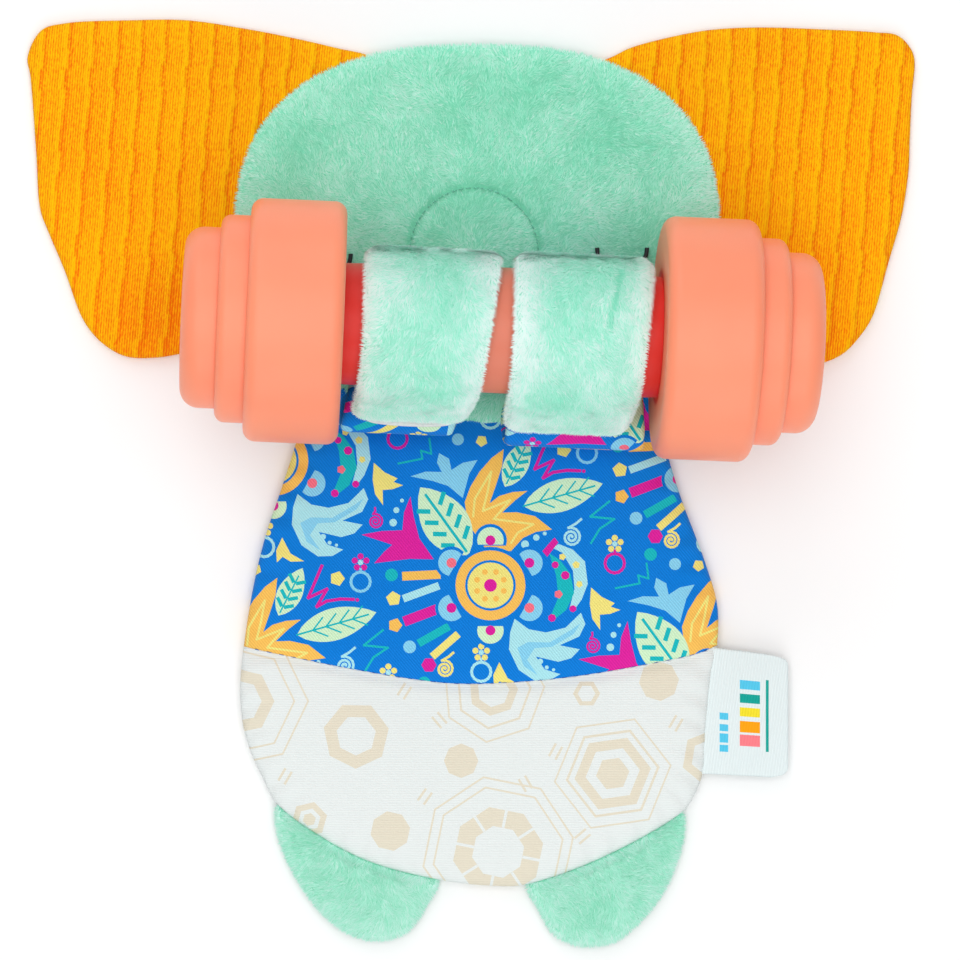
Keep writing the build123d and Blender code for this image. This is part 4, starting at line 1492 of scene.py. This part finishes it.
@dataclass
class Ear:
    """A flat ear of waffle knit over crinkle film, sewn in behind the head's edge."""

    side: Side
    rib_mm: float = 6.1         # from one rib to the next
    rib_depth: float = 0.8
    tilt: float = 5.0           # the ribs' lean from upright, in degrees
    cross_mm: float = 5.2
    cross_depth: float = 0.07
    low: float = 0.25
    high: float = 3.4

    def _phase(self, places: Points) -> Points:
        """Return how far each place is across its rib, from 0 just past a ridge to 1 on the next."""
        turn = math.radians(self.tilt)
        across = places[:, 0] * math.cos(turn) - places[:, 1] * math.sin(turn)
        across = across + 1.3 * smooth_noise(places, 45, 2.0 + self.side.value)
        row = np.floor((places[:, 1] + 1.5 * smooth_noise(places, 20, 6.0)) / self.cross_mm)
        across = across + 0.35 * np.sin(row * 2.4)
        return (across / self.rib_mm) % 1.0

    def _rib(self, places: Points) -> Points:
        """Return the ribs' height from 0 to 1: a slow rise and a quick drop, as knitted ribs have."""
        phase = self._phase(places)
        rising = np.clip((phase - 0.45) / 0.4, 0, 1)
        return np.where(phase < 0.92, rising ** 1.5, (1 - phase) / 0.08)

    def _relief(self, places: Points) -> Points:
        """Return the knit's relief: ribs, and fainter steps across them."""
        steps = np.sin(2 * math.pi * (places[:, 1] + 1.5 * smooth_noise(places, 20, 6.0)) / self.cross_mm)
        return self.rib_depth * (self._rib(places) - 1) + self.cross_depth * steps

    def build(self, wardrobe: Wardrobe) -> None:
        """Build the ear as one pad."""
        line = rounded(EAR_LINES[self.side], 1.0)
        crown = Crown(line, seam=1.4, front=self.high, back=self.low, roll=4.0, pucker=0.12, slump=0.3,
                      seed=20.0 + self.side.value, relief=self._relief)
        pad = Pad(f"{self.side.word}_ear", line, crown, FlatLay(), 0.8)
        ear = pad.build(wardrobe.knit)
        self._mark_ribs(ear)
        word = self.side.word
        finished(ear, "orange_knit", f"{word}_ear_front_panel", f"{word}_ear_back_panel",
                 f"{word}_ear_crinkle_film", f"{word}_ear_root", fill=0.2)
        Fold.of(f"{word}_ear_fold").bend(ear)

    def _mark_ribs(self, ear: bpy.types.Object) -> None:
        """Store a tone attribute for the knit's colour: painted highlight on each rib's ridge, painted shade
        on its steep drop, a slow random tone, and painted shadow of the dumbbell near its plates.
        """
        count = len(ear.data.vertices)
        points = np.empty(count * 3, np.float32)
        ear.data.vertices.foreach_get("co", points)
        places = points.reshape(-1, 3)[:, :2] / MM
        phase = self._phase(places)
        # painted highlight on the ridges and painted shade on the steep drop after each
        ridge = np.exp(-((phase - 0.84) / 0.1) ** 2)
        edge = np.exp(-(phase / 0.1) ** 2) + np.exp(-((1 - phase) / 0.04) ** 2)
        tone = 0.58 + 0.4 * ridge - 0.55 * np.clip(edge, 0, 1) * (0.8 + 0.6 * smooth_noise(places, 7, 3.0))
        tone += 0.16 * smooth_noise(places, 22, 8.0)
        # painted shadow of the dumbbell, darkest next to its plates
        near = np.linalg.norm(places - [self.side.value * 76.0, 38.0], axis=1)
        tone -= 0.3 * np.exp(-(near / 17) ** 2)
        attribute = ear.data.attributes.new("rib", "FLOAT", "POINT")
        attribute.data.foreach_set("value", np.clip(tone, 0, 1).astype(np.float32))


# ------------------------------------------------------------------ body
BODY_TOP = ((-40.5, 24), (-44.5, 9.9), (-47.8, -0.4), (-52, -12.9), (-54.8, -24.4), (-57.4, -40.4))
BODY_UNDER = ((-58.3, -51.4), (-57.5, -60.4), (-55.8, -66.4), (-52.8, -72.9), (-49.3, -79.4), (-39.5, -87),
              (-26.5, -93.9), (-8.5, -98.6), (5, -100.1), (12, -99.9), (26, -95.6), (44, -86.9),
              (52.7, -80.9), (55.5, -76.4), (57.2, -71.1), (57.7, -63.4), (59.2, -47.1))
BODY_RIGHT = ((60.6, -40.1), (60.7, -30.4), (57.7, -19.6), (51.7, -3.6), (48.5, 6.6), (43.6, 24))
WAIST = ((-57.4, -40.4), (-44.5, -43.1), (-32, -45.6), (-15.5, -48.4), (-3.5, -49.6), (14.2, -48.9),
         (27.7, -47.4), (41.2, -45.1), (56.2, -41.9), (60.6, -40.1))


@dataclass
class Body:
    """Shirt and shorts sewn together at the waist, padded and flat."""

    thick: float = 6.0
    back: float = 0.15
    seam: float = 2.8
    neck_y: float = 16.0        # the neck dips here, under the chin

    def _outline(self) -> Points:
        """Return the whole body's outline."""
        return rounded(BODY_TOP + BODY_UNDER + BODY_RIGHT, 1.2)

    def _part(self, upper: bool) -> Points:
        """Cut the outline along the waist and return the shirt's or the shorts' pattern."""
        outline = self._outline()
        waist = rounded(WAIST, 1.2, closed=False)
        first = np.linalg.norm(outline - waist[0], axis=1).argmin()
        last = np.linalg.norm(outline - waist[-1], axis=1).argmin()
        under = outline[first + 1:last]
        if upper:
            over = np.vstack([outline[last + 1:], outline[:first]])
            return np.vstack([waist, over])
        return np.vstack([waist[::-1], under])

    def build(self, wardrobe: Wardrobe) -> None:
        """Build the two padded parts and the waist's stitching."""
        outline = self._outline()
        waist = rounded(WAIST, 1.2, closed=False)
        neck = np.array([(-46.0, self.neck_y), (46.0, self.neck_y)])
        crown = Crown(outline, seam=self.seam, front=self.thick, back=self.back, roll=9, pucker=0.35,
                      slump=0.55, seed=7.0, valleys=[(waist, 1.8, 1.1), (neck, 5.0, 1.6)])
        shirt_line = self._part(True)
        shirt = Pad("shirt", shirt_line, crown, FlatLay(), 0.95,
                    repeated(jungle_motif(), JUNGLE_REPEATS, shirt_line))
        shorts_line = self._part(False)
        shorts = Pad("shorts", shorts_line, crown, FlatLay(), 0.95,
                     repeated(hexagon_motifs(), ((0.0, 0.0),), shorts_line))
        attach(finished(shirt.build(wardrobe.jungle), "blue_print", "shirt_front_panel", "shirt_back_panel",
                         "body_wadding", "body_crinkle_film", fill=0.4), "plush_body")
        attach(finished(shorts.build(wardrobe.shorts), "white_print", "shorts_front_panel",
                         "shorts_back_panel", fill=0.4), "plush_body")
        top, _ = crown.heights(waist)
        seam = stitches("waist_stitches", waist[2:-2], top[2:-2] - 0.1, (2.2, 0.3, 0.3), 0.7,
                        wardrobe.seam_thread)
        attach(finished(seam, "blue_print"), "plush_body")


# ------------------------------------------------------------------ feet
FOOT_LINES = {
    Side.LEFT: ((-48.6, -80), (-48.9, -85.1), (-46.4, -93.2), (-41.4, -102.0), (-35.4, -108.8),
                (-29.6, -112.4), (-23.4, -113.4), (-17.0, -111.3), (-12.3, -104.9), (-9.3, -99.0),
                (-13, -92), (-28, -86), (-43, -77)),
    Side.RIGHT: ((13.4, -99.4), (16.4, -105.7), (20.2, -112.0), (24.0, -114.1), (28.5, -114.9),
                 (35.0, -113.7), (41.7, -108.2), (47.3, -100.6), (50.7, -92.6), (52.0, -85.8), (51.5, -81),
                 (47, -77), (32, -86), (17, -92)),
}


@dataclass
class Foot:
    """A small plush foot, sewn in behind the shorts' edge."""

    side: Side

    def build(self, wardrobe: Wardrobe) -> None:
        """Build the foot and its pile."""
        word = self.side.word
        line = rounded(FOOT_LINES[self.side], 1.1)
        shorts = rounded(BODY_TOP + BODY_UNDER + BODY_RIGHT, 2.0)
        crown = Crown(line, seam=1.6, front=4.9, back=0.8, roll=8, pucker=0.2, slump=0.3,
                      seed=31.0 + self.side.value, cover=shorts, cover_height=2.2, cover_slope=1.0)
        pad = Pad(f"{word}_foot", line, crown, FlatLay(), 1.5)
        foot = pad.build(wardrobe.foot_ground)
        finished(foot, "green_plush", f"{word}_foot_front_panel", f"{word}_foot_back_panel",
                 f"{word}_foot_wadding", f"{word}_foot_root", fill=0.4)
        fold = Fold.of(f"{word}_foot_fold")
        front = Pile(f"{word}_foot_pile", pad, 24000, 41 + self.side.value,
                     crown_point=(3.0 + 8 * self.side.value, -70), length=2.0, cover=shorts)
        back = Pile(f"{word}_foot_back_pile", pad, 9000, 44 + self.side.value, front=False, length=1.6,
                    lean=78, width=0.45)
        fold.bend(foot)
        for pile in (front, back):
            fold.bend(finished(pile.build(wardrobe.foot_pile), "green_plush"))


# ------------------------------------------------------------------ arms
def arc_path(radius: float, first: float, last: float, step: float = 2.0) -> list[tuple[float, float]]:
    """Return points round the bar from one angle to another, in degrees."""
    count = max(int(abs(last - first) / step), 2)
    return [(radius * math.cos(math.radians(a)), radius * math.sin(math.radians(a)))
            for a in np.linspace(first, last, count)]


@dataclass
class Arm:
    """A sleeve that passes under the bar and a plush hand that folds over it onto a fastener."""

    side: Side
    inner: float = 15.9         # from the bar's axis to the hand's lining
    hand_start: float = -10.0
    sleeve_end: float = -12.8
    hand_thick: float = 2.9

    @property
    def _wrap(self) -> tuple[float, float]:
        """The angle to which the hand follows the bar, and its straight end's length."""
        return (164.0, 18.4) if self.side is Side.LEFT else (160.0, 20.2)

    @property
    def _edges(self) -> tuple[tuple[float, float], tuple[float, float], tuple[float, float]]:
        """The hand's two edges along the bar at its root, over the bar and at its tip, inside its pile."""
        if self.side is Side.LEFT:
            return (-32.6, -0.9), (-33.2, -3.9), (-34.5, -7.0)
        return (3.3, 35.2), (2.6, 33.8), (2.7, 32.0)

    @property
    def _sleeve_edges(self) -> tuple[tuple[float, float], tuple[float, float]]:
        """The sleeve's two edges along the bar, at its lip and at the hand."""
        if self.side is Side.LEFT:
            return (-37.3, -9.5), (-32.5, -2.0)
        return (2.8, 37.5), (5.0, 34.6)

    @property
    def _lip(self) -> float:
        """How far the sleeve's lip stands out over the chest."""
        return 25.9 if self.side is Side.LEFT else 27.6

    def _grip(self, path: Sequence[tuple[float, float]]) -> GripLay:
        """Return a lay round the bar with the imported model's axis."""
        joint = next(j for j in frame["joints"] if j["name"] == "dumbbell_spin")
        return GripLay(np.array(joint["pos_m"]) / MM, np.array(joint["axis"]), np.array(path))

    def build(self, wardrobe: Wardrobe) -> None:
        """Build the sleeve, the hand, its pile and the two halves of the fastener."""
        self._sleeve(wardrobe)
        self._hand(wardrobe)
        self._fastener(wardrobe)

    def _sleeve(self, wardrobe: Wardrobe) -> None:
        """Build the printed sleeve from the neck, round its lip and under the bar."""
        lip = self._lip
        path = rounded([(-17.2, -33.4), (-18.0, -32.3), (-lip + 3.2, -27.6), (-lip, -22.0),
                        (-lip + 0.8, -18.2), (-lip + 4.4, -self.inner), (-12, -self.inner),
                        (0, -self.inner)], 0.5, closed=False)
        path = np.vstack([path[:-1], arc_path(self.inner, -90, self.sleeve_end)])
        lay = self._grip(path)
        (lip_low, lip_high), (low, high) = self._sleeve_edges
        end = lay.lengths[-1]
        line = rounded([(lip_low + 2, 0), (lip_high - 2, 0), (lip_high, 2), (lip_high, 18), (high, end - 12),
                        (high, end - 2), (high - 2, end), (low + 2, end), (low, end - 2), (low, end - 12),
                        (lip_low, 18), (lip_low, 2)], 1.0)
        crown = Crown(line, seam=1.4, front=2.7, back=0.1, roll=2.6, pucker=0.12, slump=0.15,
                      seed=51.0 + self.side.value)
        shift = (-20.0, 58.0) if self.side is Side.LEFT else (38.0, 39.0)
        word = self.side.word
        pad = Pad(f"{word}_sleeve_cloth", line, crown, lay, 1.2,
                  repeated(jungle_motif(), JUNGLE_REPEATS, line, shift))
        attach(finished(pad.build(wardrobe.jungle), "blue_print", f"{word}_sleeve", fill=0.2), "plush_body")

    def _hand(self, wardrobe: Wardrobe) -> None:
        """Build the plush hand over the bar, with its lining inside."""
        word = self.side.word
        wrap, leg = self._wrap
        path = arc_path(self.inner, self.hand_start, wrap)
        turn = math.radians(wrap)
        path.append((path[-1][0] - math.sin(turn) * leg, path[-1][1] + math.cos(turn) * leg))
        lay = self._grip(path)
        end = lay.lengths[-1]
        (root_low, root_high), (mid_low, mid_high), (tip_low, tip_high) = self._edges
        line = rounded([(root_low + 1.5, 0.3), ((root_low + root_high) / 2, 0), (root_high - 1.5, 0.3),
                        (root_high, 2.2), (mid_high, end * 0.5), (tip_high, end - 3.6),
                        (tip_high - 0.9, end - 1.0), (tip_high - 3.6, end - 0.1),
                        ((tip_low + tip_high) / 2, end), (tip_low + 3.2, end - 0.1),
                        (tip_low + 0.8, end - 1.0), (tip_low, end - 3.6), (mid_low, end * 0.5),
                        (root_low, 2.2)], 1.0)
        valleys = []
        partings = []
        if self.side is Side.RIGHT:
            crease = np.array([(26.8, 13.0), (26.2, 20.0), (24.8, 26.0)])
            valleys.append((crease, 1.0, 0.5))
            partings.append(crease)
        crown = Crown(line, seam=1.3, front=self.hand_thick, back=0.1, roll=4.0, pucker=0.1, slump=0.2,
                      seed=61.0 + self.side.value, valleys=valleys)
        pad = Pad(f"{word}_hand_cloth", line, crown, lay, 1.2, back_slot=1)
        hand = pad.build([*wardrobe.hand_ground, wardrobe.lining])
        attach(finished(hand, "mint_plush", f"{word}_hand_plush", f"{word}_hand_lining", fill=0.3),
                f"{word}_hand")
        pile = Pile(f"{word}_hand_pile", pad, 60000, 71 + self.side.value, length=1.8, lean=70,
                    crown_point=((root_low + root_high) / 2, -20.0), whorl=1.8, whorl_mm=10, rim_share=0.5,
                    edge_glow=0.8, glow_mm=4.5, partings=partings)
        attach(finished(pile.build(wardrobe.hand_pile), "mint_plush"), f"{word}_hand")

    def _fastener(self, wardrobe: Wardrobe) -> None:
        """Build the loop patch on the sleeve and the hook patch under the hand's tip."""
        word = self.side.word
        low, high = self._edges[2]
        for kind, level, body in (("loop", -self.inner + 1.0, "plush_body"),
                                  ("hook", -self.inner + 2.4, f"{word}_hand")):
            lay = self._grip([(-23.4, level), (-17.0, level)])
            line = rounded([(low + 4, 0.2), (high - 4, 0.2), (high - 3, 1.2), (high - 3, 5.0),
                            (high - 4, 6.0), (low + 4, 6.0), (low + 3, 5.0), (low + 3, 1.2)], 0.8)
            crown = Crown(line, seam=0.45, front=0.95, back=0.0, roll=0.8, pucker=0.0, slump=0.05)
            pad = Pad(f"{word}_{kind}_tape", line, crown, lay, 0.8)
            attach(finished(pad.build([wardrobe.fastener]), "hook_loop", f"{word}_{kind}_patch"), body)


# ------------------------------------------------------------------ ribbon tag
@dataclass
class RibbonTag:
    """A satin ribbon folded in two and sewn into the right side, printed with plain coloured shapes."""

    root: float = 54.0
    out: float = 78.2
    top: float = -40.0
    length: float = 32.0
    low: float = 2.25
    gap: float = 0.55
    thread: float = 0.3         # the ribbon's thickness
    slant: float = 2.6          # the outer end sags towards the feet
    corner: float = 4.0
    face_rows: int = 34         # rows of points in the front, and as many in the back
    columns: int = 56

    def build(self, wardrobe: Wardrobe) -> None:
        """Build the folded ribbon as one closed sheet."""
        half = self.gap / 2 + self.thread / 2
        middle = self.low + self.thread + self.gap / 2
        reach = self.out - self.root
        steps = [(x, half) for x in np.linspace(0, reach - half, self.face_rows)]
        turns = np.linspace(0.3, math.pi - 0.3, 6)
        steps += [(reach - half + half * math.sin(a), half * math.cos(a)) for a in turns]
        steps += [(x, -half) for x in np.linspace(reach - half, 0, self.face_rows)]
        profile = np.array(steps)
        share = np.linspace(0, 1, self.columns)
        ways = np.gradient(profile, axis=0)
        ways /= np.linalg.norm(ways, axis=1, keepdims=True)
        normal = np.stack([-ways[:, 1], ways[:, 0]], 1)
        rows = []
        for offset in (self.thread / 2, -self.thread / 2):
            layer = profile + normal * offset
            for along, up in layer:
                x = self.root + along
                y = self.top - self.length * share - self.slant * (along / reach) * (1 - 0.6 * share)
                near = ((np.abs(share - 0.5) - 0.42) / 0.08).clip(0, 1)     # 1 at the ribbon's corners
                drawn = self.corner * (1 - np.sqrt(np.clip(1 - near ** 2, 0, 1)))
                bend = drawn * (along / reach) ** 3
                wave = 0.12 * np.sin(share * 9 + along * 0.35)
                rows.append(np.stack([x - bend, y, middle + up + wave], 1))
        self._skin(np.array(rows), len(profile), wardrobe)

    def _skin(self, rows: Points, count: int, wardrobe: Wardrobe) -> None:
        """Join the rows of the ribbon's two faces into a closed mesh, and dye its shapes.

        Args:
            rows: the outer face's rows and then the inner face's.
            count: rows in one face.
            wardrobe: the finishes.
        """
        faces, inks = [], []
        columns = self.columns
        base = count * columns

        def at(face: int, row: int, column: int) -> int:
            """Return a point's number."""
            return face * base + row * columns + column

        for row in range(count - 1):
            for column in range(columns - 1):
                quad = (at(0, row, column), at(0, row, column + 1), at(0, row + 1, column + 1),
                        at(0, row + 1, column))
                faces.append(quad)
                inks.append(self._ink(row / self.face_rows, column / (columns - 1)))
                faces.append(tuple(i + base for i in reversed(quad)))
                inks.append(0)
            for column in (0, columns - 1):
                edge = (at(0, row, column), at(0, row + 1, column), at(1, row + 1, column),
                        at(1, row, column))
                faces.append(edge if column == 0 else edge[::-1])
                inks.append(0)
        for row in (0, count - 1):
            for column in range(columns - 1):
                edge = (at(0, row, column), at(1, row, column), at(1, row, column + 1),
                        at(0, row, column + 1))
                faces.append(edge if row == 0 else edge[::-1])
                inks.append(0)
        mesh = bpy.data.meshes.new("ribbon_loop")
        mesh.from_pydata((rows.reshape(-1, 3) * MM).tolist(), [], faces)
        for material in wardrobe.ribbon_inks:
            mesh.materials.append(material)
        mesh.polygons.foreach_set("material_index", np.array(inks, np.int32))
        mesh.polygons.foreach_set("use_smooth", np.ones(len(faces), bool))
        mesh.validate()
        ribbon = bpy.data.objects.new("ribbon_loop", mesh)
        bpy.context.scene.collection.objects.link(ribbon)
        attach(finished(ribbon, "ribbon", "side_ribbon_tag"), "plush_body")

    @staticmethod
    def _ink(along: float, down: float) -> int:
        """Return the ink at a place on the front: a row of coloured blocks and two plain bars."""
        if 0.74 < along < 0.79 and 0.2 < down < 0.8:
            return 2
        if 0.48 < along < 0.68 and 0.22 < down < 0.78:
            block = (down - 0.22) / 0.56 * 5
            return (1, 2, 5, 4, 3)[int(block)] if block % 1 < 0.72 else 0
        if 0.27 < along < 0.36 and 0.5 < down < 0.84:
            return 1 if ((down - 0.5) / 0.34 * 4) % 1 < 0.7 else 0
        return 0


# ------------------------------------------------------------------ dumbbell and beads
@dataclass
class Dumbbell:
    """The moulded rattle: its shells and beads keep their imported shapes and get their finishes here."""

    def build(self, wardrobe: Wardrobe) -> None:
        """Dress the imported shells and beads."""
        for name, material in (("dumbbell_front_shell", wardrobe.coral["front"]),
                               ("dumbbell_back_shell", wardrobe.coral["back"]),
                               ("left_rattle_beads", wardrobe.beads), ("right_rattle_beads", wardrobe.beads)):
            node = frame["nodes"][name]
            node.data.materials.clear()
            node.data.materials.append(material)
            LOG.info("%s dressed", name)


# ------------------------------------------------------------------ studio
@dataclass
class Studio:
    """A pale floor, soft light from above and the feet's side, and a camera straight above."""

    middle: tuple[float, float] = (1.5, 1.1)
    height: float = 1100.0
    lens: float = 165.0

    def build(self) -> None:
        """Build the floor, the lights and the camera."""
        self._floor()
        self._light("overhead_softbox", (0.0, 0.0, 1.3), (0, 0, 0), 1.4, 10.0)
        self._light("feet_softbox", (0.1, -1.1, 0.7), (math.radians(58), 0, 0), 0.9, 4.0)
        self._light("head_softbox", (-0.3, 1.1, 0.7), (math.radians(-58), 0, 0), 0.9, 4.0)
        world = bpy.data.worlds.new("pale_room")
        world.use_nodes = True
        world.node_tree.nodes["Background"].inputs["Color"].default_value = linear("F4F6F8")
        world.node_tree.nodes["Background"].inputs["Strength"].default_value = 0.5
        bpy.context.scene.world = world
        bpy.context.scene.view_settings.view_transform = "Standard"
        camera = bpy.data.cameras.new("camera")
        camera.lens = self.lens
        camera.clip_start, camera.clip_end = 0.05, 20.0
        eye = bpy.data.objects.new("camera", camera)
        eye.location = (self.middle[0] * MM, self.middle[1] * MM, self.height * MM)
        bpy.context.scene.collection.objects.link(eye)
        bpy.context.scene.camera = eye

    def _floor(self) -> None:
        """Build the wide pale floor."""
        deselect()
        bpy.ops.mesh.primitive_plane_add(size=6.0, location=(0, 0, -0.0002))
        floor = bpy.context.object
        floor.name = "floor"
        material, tree = new_material("matt_white_board")
        place = add_node(tree, "ShaderNodeTexCoord").outputs["Object"]
        cloud = add_node(tree, "ShaderNodeTexNoise", {"Vector": place, "Scale": 4.0})
        mix = add_node(tree, "ShaderNodeMix", {"Factor": cloud.outputs["Fac"], 6: linear("F8F9F9"),
                                               7: linear("FBFBFA")}, data_type="RGBA")
        close_shader(tree, {"Base Color": mix.outputs[2], "Roughness": 0.7, "Specular IOR Level": 0.2})
        floor.data.materials.append(material)

    @staticmethod
    def _light(name: str, place: tuple[float, float, float], turn: tuple[float, float, float], size: float,
               power: float) -> None:
        """Add a square soft light."""
        data = bpy.data.lights.new(name, "AREA")
        data.shape = "SQUARE"
        data.size = size
        data.energy = power
        lamp = bpy.data.objects.new(name, data)
        lamp.location = place
        lamp.rotation_euler = turn
        bpy.context.scene.collection.objects.link(lamp)


def main() -> None:
    """Build the toy, piece by piece, and its studio."""
    logging.basicConfig(level=logging.INFO, format="%(name)s: %(message)s")
    Studio().build()
    wardrobe = Wardrobe()
    builders: list[Head | Ear | Body | Foot | Arm | RibbonTag | Dumbbell] = [
        Dumbbell(), Head(), Body(), RibbonTag()]
    for side in Side:
        builders += [Ear(side), Foot(side), Arm(side)]
    for builder in builders:
        builder.build(wardrobe)


if __name__ == "__main__":
    main()
